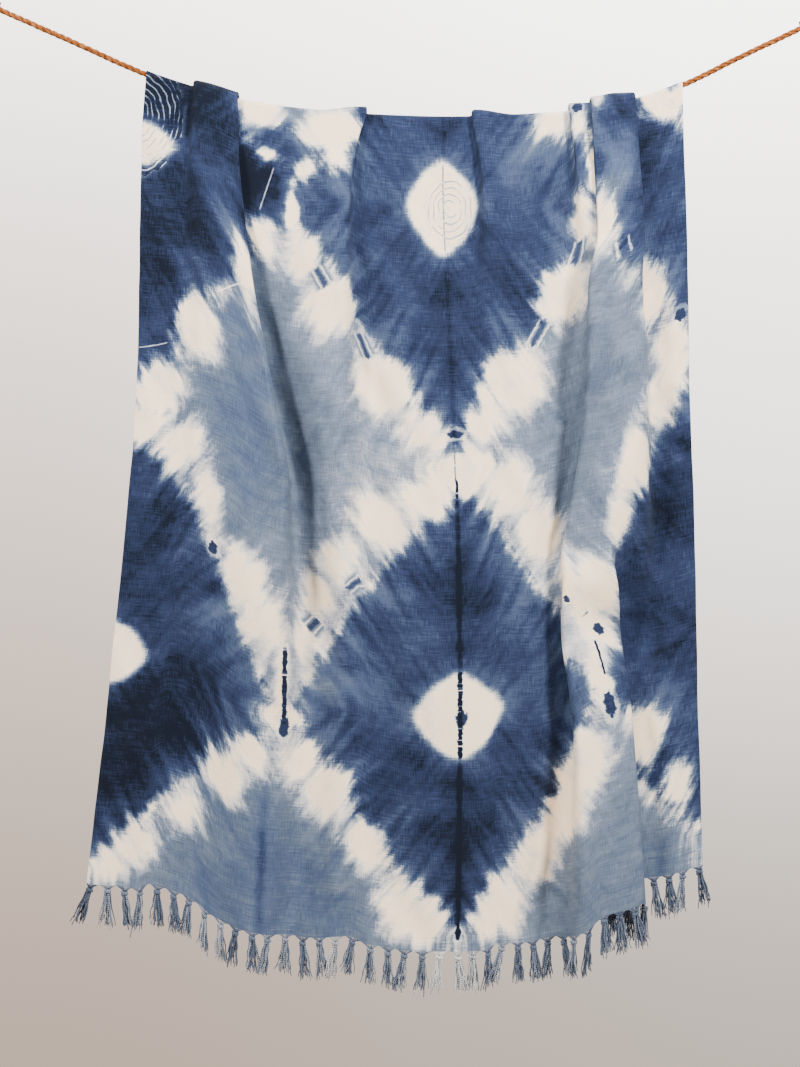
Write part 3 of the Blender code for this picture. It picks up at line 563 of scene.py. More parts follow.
class Drape:
    """The hanging cloth's sections, and the points of its surface."""

    def __init__(self, width, length, thickness):
        self.width = width
        self.length = length
        self.thickness = thickness
        self.across = np.linspace(0.0, width, ACROSS_SAMPLES)
        self.step = self.across[1] - self.across[0]
        made = [self.section(drop) for drop in LEVELS]
        loft = LOFT_ON_ROPE + (LOFT_BELOW - LOFT_ON_ROPE) * ease(LEVELS / LOFT_FULL_DROP)
        self.x_table = np.array([m[0] for m in made])
        self.forward_table = np.array([m[1] for m in made]) * loft[:, None]

    def section(self, drop):
        """Level cross-section of the cloth at one drop: x and forward distance."""
        turn = np.zeros_like(self.across)
        proud = []
        for name, fold in FOLDS.items():
            middle, half, take_up, straight = table_at(fold.rows, drop)
            if take_up < LEAST_TAKE_UP:
                continue
            swing = fold_swing(take_up / (2 * half), straight)
            bend = swing * fold_share((self.across - middle) / half, straight)
            turn += fold.front * bend
            climb = np.cumsum(np.sin(bend)) * self.step
            bent = np.abs(self.across - middle) <= half
            proud.append((fold.front, climb, bent, HOLLOWS.get(name, NO_HOLLOW)))
        x = np.concatenate([[0], np.cumsum(np.cos(turn))[:-1] * self.step])
        forward = np.concatenate([[0], np.cumsum(np.sin(turn))[:-1] * self.step])
        x = self.hang_between_lines(x, drop)
        opened = ease((drop - HOLLOW_FROM) / (HOLLOW_FULL - HOLLOW_FROM))
        for front, climb, bent, hollow in proud:
            rise = climb[-1]
            relax = max(RELAX_LEAST, RELAX_PER_RISE * rise)
            first = x[bent].min()
            last = x[bent].max()
            if front == RIGHT_IN_FRONT:
                forward = forward - rise * ease((x - last) / relax)
                beyond = (1 - climb / rise) * (1 - ease((first - x) / hollow.width))
            else:
                forward = forward + rise * (1 - ease((first - x) / relax))
                beyond = (climb / rise) * (1 - ease((x - last) / hollow.width))
            forward = forward - opened * hollow.share * rise * beyond
        return x, forward

    def hang_between_lines(self, x, drop):
        """Moves a section so that the cloth's four known lines hang where they should."""
        wanted = table_at(HANG, drop)
        own = np.interp(HANG_LINES, self.across, x)
        panel = np.clip(np.searchsorted(HANG_LINES, self.across, side="right") - 1, 0, len(own) - 2)
        stretch = np.diff(wanted) / np.diff(own)
        return np.asarray(wanted)[panel] + (x - own[panel]) * stretch[panel]

    def read(self, table, across, drop):
        """Value of a level table at each (across, drop)."""
        level = np.clip(np.asarray(drop) / LEVEL_STEP, 0, len(LEVELS) - 1.001)
        column = np.clip(np.asarray(across) / self.step, 0, len(self.across) - 1.001)
        i = level.astype(int)
        j = column.astype(int)
        s = level - i
        t = column - j
        low = table[i, j] * (1 - t) + table[i, j + 1] * t
        high = table[i + 1, j] * (1 - t) + table[i + 1, j + 1] * t
        return low * (1 - s) + high * s

    def column_places(self):
        """Where the mesh's columns lie on the flat cloth at each level: as many in each fold and panel."""
        places = []
        for drop in LEVELS:
            row = [0.0]
            for fold in FOLDS.values():
                middle, half, _, straight = table_at(fold.rows, drop)
                flat = max(straight, LEAST_FLAT_SHARE)
                turn = np.linspace(1, flat, fold.turn_steps + 1)
                share = np.concatenate([-turn, [-flat / 2, 0.0, flat / 2], turn[::-1]])
                row += list(np.linspace(row[-1], middle - half, fold.panel_steps + 1)[1:-1])
                row += list(middle + half * share)
            row += list(np.linspace(row[-1], self.width, LAST_PANEL_STEPS + 1)[1:])
            places.append(row)
        return np.array(places)

    def radius(self, forward_on_rope):
        """Radius of the cloth's middle surface round the rope's middle line."""
        return ROPE_RADIUS + REST_GAP + self.thickness / 2 + forward_on_rope

    def fall(self, places, share, side):
        """A row on a fall: x, y, z, and its place across and along the flat cloth. share is 1 at the hem."""
        column = np.arange(places.shape[1])
        drop = np.zeros(places.shape[1])
        for _ in range(DROP_ROUNDS):
            level = np.clip(drop / LEVEL_STEP, 0, len(LEVELS) - 1.001)
            i = level.astype(int)
            across = places[i, column] * (1 - level + i) + places[i + 1, column] * (level - i)
            on_rope = np.zeros_like(across)
            radius = self.radius(self.read(self.forward_table, across, on_rope))
            front = front_fall(across)
            back = self.length - front - math.pi * radius
            drop = share * (front - radius if side < 0 else back + radius)
        x = self.read(self.x_table, across, drop)
        forward = self.read(self.forward_table, across, drop)
        lean = self.swell(across, drop) * ease(drop / SWELL_FULL_DROP) if side < 0 else 0.0
        y = side * (self.radius(forward) + lean)
        z = rope_height(self.read(self.x_table, across, on_rope)) - drop
        if side < 0:
            along = front - radius - drop
        else:
            along = front - radius + math.pi * radius + drop
        return np.column_stack([x, y, z, across, along])

    def wrap(self, places, angle):
        """A row on the rope, like a fall's. angle is 0 on the crest, and +90 degrees in front."""
        across = places[0]
        on_rope = np.zeros_like(across)
        x = self.read(self.x_table, across, on_rope)
        radius = self.radius(self.read(self.forward_table, across, on_rope))
        slope = rope_slope(x)
        z = rope_height(x) + radius * np.sqrt(1 + slope * slope) * math.cos(angle)
        along = front_fall(across) - radius + radius * (math.pi / 2 - angle)
        return np.column_stack([x, -radius * math.sin(angle), z, across, along])

    def swell(self, across, drop):
        """Soft relief that the folds don't hold."""
        total = 0.0
        for s in SWELLS:
            a = np.clip((across - s.across) / s.half_across, -1, 1)
            d = np.clip((drop - s.drop) / s.half_drop, -1, 1)
            total = total + s.height * (1 + np.cos(np.pi * a)) * (1 + np.cos(np.pi * d)) / 4
        return total

    def grid(self):
        """All rows, from the front hem over the rope to the back hem: rows, columns, and five values each."""
        places = self.column_places()
        front = [self.fall(places, share, -1) for share in np.linspace(1, 0, FRONT_ROWS + 1)]
        turn = np.linspace(math.pi / 2, -math.pi / 2, WRAP_ROWS + 2)[1:-1]
        over = [self.wrap(places, angle) for angle in turn]
        back = [self.fall(places, share, 1) for share in np.linspace(0, 1, BACK_ROWS + 1)]
        return np.array(front + over + back)


def ripples(u, v):
    """Fine unevenness of a handwoven cloth that was bound and pressed: a sum of slanting waves."""
    chance = np.random.default_rng(11)
    total = np.zeros_like(u)
    for size in RIPPLE_SIZES:
        for _ in range(RIPPLE_WAVES):
            slant = chance.normal(0.0, 0.45)
            wave = 2 * math.pi / (size * chance.uniform(0.8, 1.3))
            start = chance.uniform(0, 2 * math.pi)
            drift = 0.6 * np.sin(v * chance.uniform(3, 9) + chance.uniform(0, 6))
            total += size * np.sin(wave * (u * math.cos(slant) + v * math.sin(slant)) + start + drift)
    return total * RIPPLE_HEIGHT


def new_mesh(name, points, faces):
    mesh = bpy.data.meshes.new(name)
    mesh.from_pydata(points.tolist(), [], faces)
    mesh.update()
    mesh.shade_smooth()
    return mesh


def set_vectors(mesh, field, values):
    """Puts a vector on each point of a mesh."""
    layer = mesh.attributes.new(field, "FLOAT_VECTOR", "POINT")
    layer.data.foreach_set("vector", np.ascontiguousarray(values, np.float32).reshape(-1))


def sheet_mesh(name, grid, fields):
    """The cloth's mesh from its grid, with the given fields on its points."""
    rows, columns = grid.shape[:2]
    points = grid[:, :, :3].reshape(-1, 3) + THROW_MIDDLE
    a = (np.arange(rows - 1)[:, None] * columns + np.arange(columns - 1)).reshape(-1)
    upper = np.column_stack([a, a + 1, a + 1 + columns])
    lower = np.column_stack([a, a + 1 + columns, a + columns])
    mesh = new_mesh(name, points, np.concatenate([upper, lower]).tolist())
    ends = np.zeros(len(mesh.edges) * 2, np.int32)
    mesh.edges.foreach_get("vertices", ends)
    row, column = np.divmod(ends.reshape(-1, 2), columns)
    on_rim = np.zeros(len(mesh.edges), bool)
    for place, last in ((row, rows - 1), (column, columns - 1)):
        for border in (0, last):
            on_rim |= np.all(place == border, axis=1)
    sharp = mesh.attributes.new("sharp_edge", "BOOLEAN", "EDGE")
    sharp.data.foreach_set("value", on_rim)
    for field, values in fields.items():
        set_vectors(mesh, field, values)
    return mesh


def place_on_lattice(u, v):
    """Half repeats across, and half repeats along, of a place on the flat cloth."""
    acrosses = np.array([c.across for c in LATTICE])
    i = np.clip(np.searchsorted(acrosses, u, side="right") - 1, 0, len(LATTICE) - 2)
    t = (u - acrosses[i]) / (acrosses[i + 1] - acrosses[i])
    rows = np.array([np.interp(v, c[1:], LATTICE_ROWS) for c in LATTICE])
    n = np.arange(u.size).reshape(u.shape)
    flat = rows.reshape(len(LATTICE), -1)
    left = flat[i.reshape(-1), n.reshape(-1)].reshape(u.shape)
    right = flat[i.reshape(-1) + 1, n.reshape(-1)].reshape(u.shape)
    return i + t, left * (1 - t) + right * t


def offsets(u, v, mark):
    """Offsets from a mark along its own across and along, in its half sizes."""
    turn = math.radians(mark.turn)
    wide = (u - mark.across) * math.cos(turn) + (v - mark.along) * math.sin(turn)
    tall = (v - mark.along) * math.cos(turn) - (u - mark.across) * math.sin(turn)
    return wide / mark.half_across, tall / mark.half_along


def outside(u, v, blob, power=2.0):
    """How far a place is outside a blob, about. It is less than nothing inside."""
    wide, tall = offsets(u, v, blob)
    reach = (np.abs(wide) ** power + np.abs(tall) ** power) ** (1 / power)
    return (reach - 1) * math.sqrt(blob.half_across * blob.half_along)


def nearest_mark(u, v, marks, near):
    """Offsets from the nearest of some marks, and how dark it is near it: less than nothing if pale."""
    field = np.zeros(u.shape + (3,))
    nearest = np.full(u.shape, 1.0)
    for mark in marks:
        wide, tall = offsets(u, v, mark)
        beyond = np.maximum(np.abs(tall) - 1, 0) * mark.half_along
        away = np.hypot(wide * mark.half_across, beyond)
        strength = (away < near) * getattr(mark, "dark", 1)
        closer = away < nearest
        field = np.where(closer[..., None], np.stack([wide, tall, strength], axis=-1), field)
        nearest = np.minimum(away, nearest)
    return field


def fields_on_cloth(u, v):
    """What the dye follows at each place of the flat cloth."""
    across, along = place_on_lattice(u, v)
    p = np.abs((across + 1) % 2 - 1)
    q = np.abs((along + 1) % 2 - 1)
    from_band = (p + q - 1) * LATTICE_SCALE
    # One stain, one gap and two clouds paint the shade of the left ridge's fold, just right of its lip, as
    # dark dye
    for stain in STAINS:
        from_band = np.minimum(from_band, outside(u, v, stain))
    undyed = [-outside(u, v, blob) / BLOB_JOIN for blob in BLOBS]
    half_width = BAND_HALF_WIDTH + BAND_WIDER_LOW * ease((BAND_WIDER_FROM - v) / BAND_WIDER_WITHIN)
    undyed.append((half_width - np.abs(from_band)) / BLOB_JOIN)
    bound = -np.logaddexp.reduce(undyed) * BLOB_JOIN
    for gap in GAPS:
        bound = np.maximum(bound, -outside(u, v, gap))
    tight = ease(1 - outside(u, v, STAINS[0]) / TIGHTER_WITHIN)
    bound = bound * (1 + TIGHTER * tight)
    dots = np.minimum.reduce([outside(u, v, dot, DOT_POWER) for dot in DOTS])
    deeper = np.zeros_like(u)
    for cloud in CLOUDS:
        wide, tall = offsets(u, v, cloud)
        deeper += cloud.deeper * np.exp(-CLOUD_FALL * (wide**2 + tall**2))
    rings = np.zeros(u.shape + (3,))
    for ring in RINGS:
        wide = u - ring.across
        tall = (v - ring.along) * ring.squash
        near = (np.hypot(wide, tall) < ring.reach).astype(float)
        rings = np.where(near[..., None] > 0, np.stack([wide, tall, near], axis=-1), rings)
    return {
        "flat": np.stack([u, v, np.zeros_like(u)], axis=-1),
        "dye": np.stack([bound, from_band, deeper], axis=-1),
        "gather": np.stack([(p - q) * LATTICE_SCALE, from_band, dots], axis=-1),
        "bar": nearest_mark(u, v, BARS, BAR_NEAR),
        "knot": nearest_mark(u, v, KNOTS, KNOT_NEAR),
        "stitch": nearest_mark(u, v, STITCHES, STITCH_NEAR),
        "rings": rings,
    }


def add(tree, kind, inputs=(), output=0, stops=()):
    """Adds a node and returns one of its outputs.

    The inputs, in order or by key, are values to set or sockets to link. Stops are for a colour ramp: its
    places from 0 to 1, each with a hex code or a linear colour.
    """
    node = tree.nodes.new("ShaderNode" + kind.type)
    for key, value in kind.settings.items():
        setattr(node, key, value)
    for key, value in inputs.items() if isinstance(inputs, dict) else enumerate(inputs):
        if isinstance(value, bpy.types.NodeSocket):
            tree.links.new(value, node.inputs[key])
        else:
            node.inputs[key].default_value = value
    stops = [(place, linear(tone) if isinstance(tone, str) else (*tone, 1.0)) for place, tone in stops]
    if stops:
        on_ramp = node.color_ramp.elements
        on_ramp[0].color = stops[0][1]
        on_ramp[1].color = stops[-1][1]
        for place, tone in stops[1:-1]:
            on_ramp.new(place).color = tone
    return node.outputs[output]


def with_noise(tree, value, noises, **shares):
    """A value with a share of each of these noises added."""
    for name, share in shares.items():
        value = add(tree, TIMES_PLUS, [noises[name], share, value])
    return value


def within(tree, mask, *limits):
    """A smooth step between limits, where a mask lets it through."""
    return add(tree, TIMES, [add(tree, SMOOTH, limits), mask])


def changed_by(tree, dye, mark, share):
    """The dye, made deeper by this share where the mark is, or paler if the share is less than nothing."""
    return add(tree, TIMES, [dye, add(tree, TIMES_PLUS, [mark, share, 1.0])])


def distance(tree, x, y):
    return add(tree, LENGTH, [add(tree, JOIN, [x, y])], "Value")


def field_on(tree, name):
    """A field that the mesh carries on its points, whole and in its three parts."""
    field = add(tree, Kind("Attribute", {"attribute_name": name}), output="Vector")
    return field, add(tree, SPLIT, [field]).node.outputs


def new_material(name, roughness):
    made = bpy.data.materials.new(name)
    made.use_nodes = True
    shader = made.node_tree.nodes["Principled BSDF"]
    shader.inputs["Roughness"].default_value = roughness
    shader.inputs["Specular IOR Level"].default_value = 0.08
    return made, made.node_tree, shader


def paint(tree, shader, value, *stops):
    """Colours a finish by a value, along a ramp."""
    tree.links.new(add(tree, RAMP, [value], stops=stops), shader.inputs["Base Color"])


def roughen(tree, shader, height, strength, depth):
    """Gives a finish a fine relief."""
    bump = add(tree, BUMP, {"Strength": strength, "Distance": depth, "Height": height})
    tree.links.new(bump, shader.inputs["Normal"])


def dyed_cotton(settings):
    """Handwoven cotton, bound and dipped in an indigo vat: matt, threads of uneven depth, feathered edges."""
    made, tree, shader = new_material("handwoven_cotton_resist_dyed", 0.92)
    shader.inputs["Sheen Weight"].default_value = 0.03
    shader.inputs["Sheen Roughness"].default_value = 0.6
    fields = {}
    parts = {}
    for name in ("flat", "dye", "gather", "bar", "knot", "stitch", "rings"):
        fields[name], parts[name] = field_on(tree, name)
    noises = {}
    for name, noise in NOISES.items():
        place = add(tree, STRETCH, [fields[noise.field], (noise.across, noise.along, 1.0)])
        inputs = {"Vector": place, "Scale": 1.0, "Detail": noise.detail, "Roughness": 0.55}
        noises[name] = add(tree, LESS, [add(tree, NOISE, inputs), NOISE_MIDDLE])
    threads = with_noise(tree, add(tree, PLUS, [noises["warp"], noises["weft"]]), noises, slub=0.5)
    noises["threads"] = threads
    dye = self_coloured(tree, parts, noises)
    for marks in (bound_marks, stitched_marks, creased):
        dye = marks(tree, parts, noises, dye)

    # Each thread took the dye to its own depth
    uneven = add(tree, TIMES_PLUS, [dye, 0.38, 0.085])
    dye = add(tree, TIMES_PLUS, [threads, uneven, dye])
    pale = ((0, settings.undyed), (0.10, "#CBC5C0"), (0.32, settings.light_dye))
    deep = ((0.42, "#555F6E"), (0.52, "#424E66"), (0.74, settings.dark_dye), (1, "#0A101C"))
    paint(tree, shader, dye, *pale, *deep)
    roughen(tree, shader, threads, 0.35, 0.0012)
    return made


def self_coloured(tree, parts, noises):
    """Depth of the dye of the diamonds and dots, from 0 for undyed cotton to about 1."""
    bound, from_band, deeper = parts["dye"]
    edge = with_noise(tree, bound, noises, feather=0.056, fine=0.014, patch=0.034, threads=0.012)
    dot_edge = with_noise(tree, parts["gather"][2], noises, patch=0.014, threads=0.008)
    edge = add(tree, SMALLER, [edge, add(tree, TIMES, [dot_edge, 1.6])])
    rim = add(tree, SMOOTH, [edge, -0.013, 0.019])

    # The dark diamonds: deepest inside, with long fans from the gathers
    inner = add(tree, SMOOTH, [edge, 0.0, 0.08, 0.64, 0.77])
    fan = within(tree, noises["fan"], edge, 0.02, 0.12, 0.70, 0.10)
    tone = with_noise(tree, 1.0, noises, soft=0.34, flow=0.38, feather=0.20)
    tone = add(tree, PLUS, [add(tree, PLUS, [tone, fan]), deeper])
    dark = add(tree, TIMES, [add(tree, TIMES, [rim, inner]), tone])

    # The light diamonds: paler near the bands, with streaks along the weft
    light = add(tree, SMOOTH, [edge, -0.016, 0.028, 0.0, 0.33])
    light = add(tree, PLUS, [light, add(tree, SMOOTH, [edge, 0.01, 0.10, 0.0, 0.07])])
    tone = with_noise(tree, 1.0, noises, patch=0.40, streak=0.34)
    light = add(tree, TIMES, [light, add(tree, TIMES_PLUS, [deeper, 3.0, tone])])
    zone = add(tree, SMOOTH, [with_noise(tree, from_band, noises, patch=0.06), -0.006, 0.012])
    dye = add(tree, MIX, {0: zone, 2: dark, 3: light})

    # A thin wash of dye crept into the bound places
    wash = with_noise(tree, noises["soft"], noises, feather=0.8)
    return add(tree, PLUS, [dye, add(tree, SMOOTH, [wash, -0.05, 0.35, 0.0, 0.075])])


def bound_marks(tree, parts, noises, dye):
    """Bars with pale edges in the necks of the bands, and blots where a knot let the dye in."""
    x, y, near = parts["bar"]
    x, y = (add(tree, SIZE, [with_noise(tree, part, noises, ragged=0.9)]) for part in (x, y))
    ends = within(tree, near, y, 1.20, 0.80)
    neck = within(tree, ends, x, 3.8, 1.7, 0.0, 0.36)
    side = add(tree, SIZE, [add(tree, LESS, [x, 1.35])])
    pale = within(tree, ends, side, 0.46, 0.12)
    core = within(tree, ends, x, 1.05, 0.40, 0.0, 0.66)
    dye = add(tree, LARGER, [dye, neck])
    dye = changed_by(tree, dye, pale, -0.70)
    dye = add(tree, LARGER, [dye, core])
    x, y, near = parts["knot"]
    reach = with_noise(tree, distance(tree, x, y), noises, ragged=1.3)
    blot = within(tree, near, reach, 1.15, 0.75, 0.0, 0.80)
    halo = within(tree, near, reach, 1.9, 1.4)
    dye = changed_by(tree, dye, halo, -0.50)
    return add(tree, LARGER, [dye, blot])


def stitched_marks(tree, parts, noises, dye):
    """Lines that a drawn-up thread left, dark or pale, and rings of fine lines."""
    x, y, dark_or_pale = parts["stitch"]
    x = add(tree, SIZE, [with_noise(tree, x, noises, ragged=1.5)])
    ends = add(tree, SMOOTH, [add(tree, SIZE, [y]), 1.05, 0.92])
    line = within(tree, ends, x, 1.1, 0.6)
    dashes = add(tree, SMOOTH, [noises["dashes"], -0.20, -0.08])
    dark = add(tree, TIMES, [add(tree, TIMES, [line, dashes]), dark_or_pale])
    pale = add(tree, TIMES, [line, add(tree, TIMES, [dark_or_pale, -0.70])])
    dye = add(tree, LARGER, [dye, add(tree, TIMES, [dark, 0.95])])
    dye = add(tree, TIMES, [dye, add(tree, LESS, [1.0, add(tree, LARGER, [pale, 0.0])])])
    x, y, near = parts["rings"]
    reach = with_noise(tree, distance(tree, x, y), noises, waver=0.011)
    wave = add(tree, SINE, [add(tree, TIMES, [reach, RING_WAVES])])
    rings = within(tree, near, wave, 0.60, 0.92)
    rings = within(tree, rings, noises["patch"], -0.12, 0.02)
    change = add(tree, TIMES, [rings, add(tree, TIMES_PLUS, [dye, 0.45, 0.22])])
    return add(tree, SIZE, [add(tree, LESS, [dye, change])])


def creased(tree, parts, noises, dye):
    """The crease down the middle took more dye, most of it near the hem."""
    across, along, _ = parts["flat"]
    aside = add(tree, SIZE, [add(tree, LESS, [across, CREASE_LINE])])
    crease = add(tree, SMOOTH, [with_noise(tree, aside, noises, patch=0.006), 0.0075, 0.0010])
    share = add(tree, SMOOTH, [along, 1.05, 0.80, 0.09, 0.30])
    return changed_by(tree, dye, crease, share)


def dyed_yarn(settings):
    """Loosely twisted cotton yarn, dyed with the cloth: matt and hairy, each yarn of its own depth."""
    made, tree, shader = new_material("twisted_cotton_yarn", 0.95)
    shader.inputs["Sheen Weight"].default_value = 0.15
    depth, turn, _ = field_on(tree, "yarn")[1]
    depth = add(tree, PLUS, [depth, add(tree, TIMES, [add(tree, SINE, [turn]), 0.10])])
    paint(tree, shader, depth, (0, "#C9C6C0"), (0.45, settings.yarn), (1, "#141C2C"))
    return made


def coir(settings):
    """Coconut fibre, spun and laid by hand: dry, rough, orange brown with patches of darker husk."""
    made, tree, shader = new_material("coir_rope", 0.9)
    strand = field_on(tree, "strand")[0]
    stretched = add(tree, STRETCH, [strand, (90.0, 9.0, 1.0)])
    grain = add(tree, NOISE, {"Vector": stretched, "Scale": 1.0, "Detail": 4.0})
    slow = add(tree, NOISE, {"Vector": strand, "Scale": 14.0, "Detail": 2.0})
    mixed = add(tree, TIMES_PLUS, [add(tree, TIMES_PLUS, [slow, 0.5, grain]), 1.6, -0.7])
    paint(tree, shader, mixed, (0, "#47230F"), (0.5, settings.fibre), (1, "#A9714A"))
    roughen(tree, shader, grain, 0.5, 0.0006)
    return made


def new_object(name, mesh, look):
    made = bpy.data.objects.new(name, mesh)
    made.data.materials.append(look)
    bpy.context.scene.collection.objects.link(made)
    return made


def side_by_side(*values):
    """Numbers and rows of numbers as the columns of one table."""
    return np.column_stack(np.broadcast_arrays(*values))


def unit(vectors):
    """A vector, or each row of a table of them, made 1 long."""
    return vectors / (np.linalg.norm(vectors, axis=-1, keepdims=True) + 1e-12)


def run_along(path):
    """Length of a path up to each of its points."""
    return np.concatenate([[0], np.cumsum(np.linalg.norm(np.diff(path, axis=0), axis=1))])


class Tubes:
    """Gathers round tubes, twisted or plain, into one mesh, with a vector on each point."""

    def __init__(self):
        self.points = []
        self.faces = []
        self.values = []
        self.count = 0

    def add(self, path, radii, sides, values, start=0.0):
        """One tube along a path. values has a vector for each point of the path."""
        path = np.asarray(path, float)
        ways = unit(np.gradient(path, axis=0))
        side = unit(np.cross(ways, -FRONTWARD if abs(ways[0][1]) < 0.8 else RIGHTWARD))
        up = np.cross(side, ways)
        angles = (start + 2 * math.pi * np.arange(sides) / sides)[:, None]
        around = np.cos(angles) * side[:, None] + np.sin(angles) * up[:, None]
        self.points.append((path[:, None] + np.asarray(radii)[:, None, None] * around).reshape(-1, 3))
        self.values.append(np.repeat(np.asarray(values, float), sides, axis=0))
        last = self.count + (len(path) - 1) * sides
        for a in range(self.count, last, sides):
            for j in range(sides):
                k = (j + 1) % sides
                self.faces.append((a + j, a + sides + j, a + sides + k, a + k))
        self.faces.append(tuple(range(self.count, self.count + sides)))
        self.faces.append(tuple(range(last, last + sides))[::-1])
        self.count = last + sides

    def mesh(self, name, field):
        mesh = new_mesh(name, np.concatenate(self.points) + THROW_MIDDLE, self.faces)
        set_vectors(mesh, field, np.concatenate(self.values))
        return mesh


def rope_line():
    """Points, directions and upward sides of the rope's middle line."""
    xs = np.append(np.arange(ROUTE[0].x, ROUTE[-1].x, ROPE_STEP), ROUTE[-1].x)
    slope = rope_slope(np.clip(xs, ROUTE[0].x + SLOPE_PROBE, ROUTE[-1].x - SLOPE_PROBE))
    ways = unit(side_by_side(1.0, 0.0, slope))
    return side_by_side(xs, 0.0, rope_height(xs)), ways, side_by_side(-ways[:, 2], 0.0, ways[:, 0])


def lay_strands(tubes, points, ups, run, lay, chance):
    """Three strands laid round a line, each of them a little uneven."""
    for strand in range(STRANDS):
        uneven = 1 + 0.05 * np.sin(run * 61 + strand * 2.1) + 0.04 * np.sin(run * 143 + strand)
        angle = (2 * math.pi * (run / lay + strand / STRANDS))[:, None]
        offset = STRAND_OFFSET * (np.cos(angle) * ups + np.sin(angle) * FRONTWARD)
        values = side_by_side(strand * 3.7, run * 10, 0.0)
        tubes.add(points + offset, STRAND_RADIUS * uneven, STRAND_SIDES, values, chance.uniform(0, 6))


def fibres_on(tubes, points, ways, chance):
    """Loose ends of fibre that stand off the rope."""
    steps = np.linspace(0, 1, 5)[:, None]
    for _ in range(FIBRES):
        i = chance.integers(2, len(points) - 2)
        turn = chance.uniform(0, 2 * math.pi)
        out = np.array([0, math.cos(turn), math.sin(turn)])
        out = out - ways[i] * float(out @ ways[i])
        length = chance.uniform(0.006, 0.022)
        lean = ways[i] * chance.choice([-1, 1]) * chance.uniform(0.6, 1.6)
        start = points[i] + out * FIBRE_ROOT
        bend = chance.uniform(-0.4, 0.6)
        path = start + length * (steps * (lean + out * 0.35) + steps**2 * out * bend) / 1.5
        values = np.tile([chance.uniform(0, 9), 0.0, 0.0], (5, 1))
        tubes.add(path, FIBRE_RADIUS * (1.2 - steps[:, 0]), FIBRE_SIDES, values)


class THROW_OT_stage(bpy.types.Operator):
    """Sets the camera at the photograph's angle, the soft lights, the pale background and the floor"""

    bl_idname = "throw.stage"
    bl_label = "Stage"

    def execute(self, context):
        scene = context.scene
        camera_data = bpy.data.cameras.new("camera")
        camera_data.lens = CAMERA_LENS
        camera_data.sensor_width = CAMERA_SENSOR
        camera = bpy.data.objects.new("camera", camera_data)
        camera.location = (THROW_MIDDLE[0], CAMERA_Y, THROW_MIDDLE[2])
        camera.rotation_euler = (math.pi / 2, 0.0, 0.0)
        scene.collection.objects.link(camera)
        scene.camera = camera
        self.make_world(scene)
        for row in LIGHTS:
            light_data = bpy.data.lights.new(row.name, "AREA")
            light_data.shape = "SQUARE"
            light_data.size = row.size
            light_data.energy = row.power
            light = bpy.data.objects.new(row.name, light_data)
            light.location = row.place
            way = unit(np.array(row.aim) - np.array(row.place))
            light.rotation_euler = (math.acos(-way[2]), 0.0, math.atan2(way[1], way[0]) - math.pi / 2)
            scene.collection.objects.link(light)
        self.make_floor()
        return {"FINISHED"}

    def make_world(self, scene):
        """Pale wall tones behind the throw, painted with the wall's light and shade, and an even soft light
        from all round.
        """
        world = bpy.data.worlds.new("pale_room")
        world.use_nodes = True
        scene.world = world
        tree = world.node_tree
        across, deep, up = add(tree, SPLIT, [add(tree, PLACE, output="Generated")]).node.outputs
        up = add(tree, RISE, [up, -0.36, 0.36])
        mix = {0: add(tree, SMOOTH, [across, -0.28, 0.28])}
        for key, tones in zip((6, 7), SHADED_WALL_TONES):
            stops = [(i / (len(tones) - 1), tone) for i, tone in enumerate(tones)]
            mix[key] = add(tree, RAMP, [up], stops=stops)
            mix[key].node.color_ramp.interpolation = "B_SPLINE"
        wall = add(tree, MIX_COLOURS, mix, COLOUR_OUT)
        mix = {0: add(tree, RISE, [deep, 0.2, 0.7]), 6: linear(ROOM_TONE), 7: wall}
        shade = tree.nodes["Background"]
        tree.links.new(add(tree, MIX_COLOURS, mix, COLOUR_OUT), shade.inputs["Color"])
        shade.inputs["Strength"].default_value = ROOM_STRENGTH

    def make_floor(self):
        """A pale floor well below the fringe."""
        corners = np.array([(-1, -1, 0), (1, -1, 0), (1, 1, 0), (-1, 1, 0)])
        middle = (THROW_MIDDLE[0], 0.0, FLOOR_HEIGHT)
        points = corners * (FLOOR_HALF_WIDTH, FLOOR_HALF_DEPTH, 0.0) + middle
        made, tree, shader = new_material("matt_pale_floor", 0.9)
        grain = add(tree, NOISE, {"Scale": 3.0, "Detail": 3.0})
        paint(tree, shader, grain, (0, "#D8D4CF"), (1, "#E4E1DD"))
        new_object("floor", new_mesh("floor", points, [(0, 1, 2, 3)]), made)


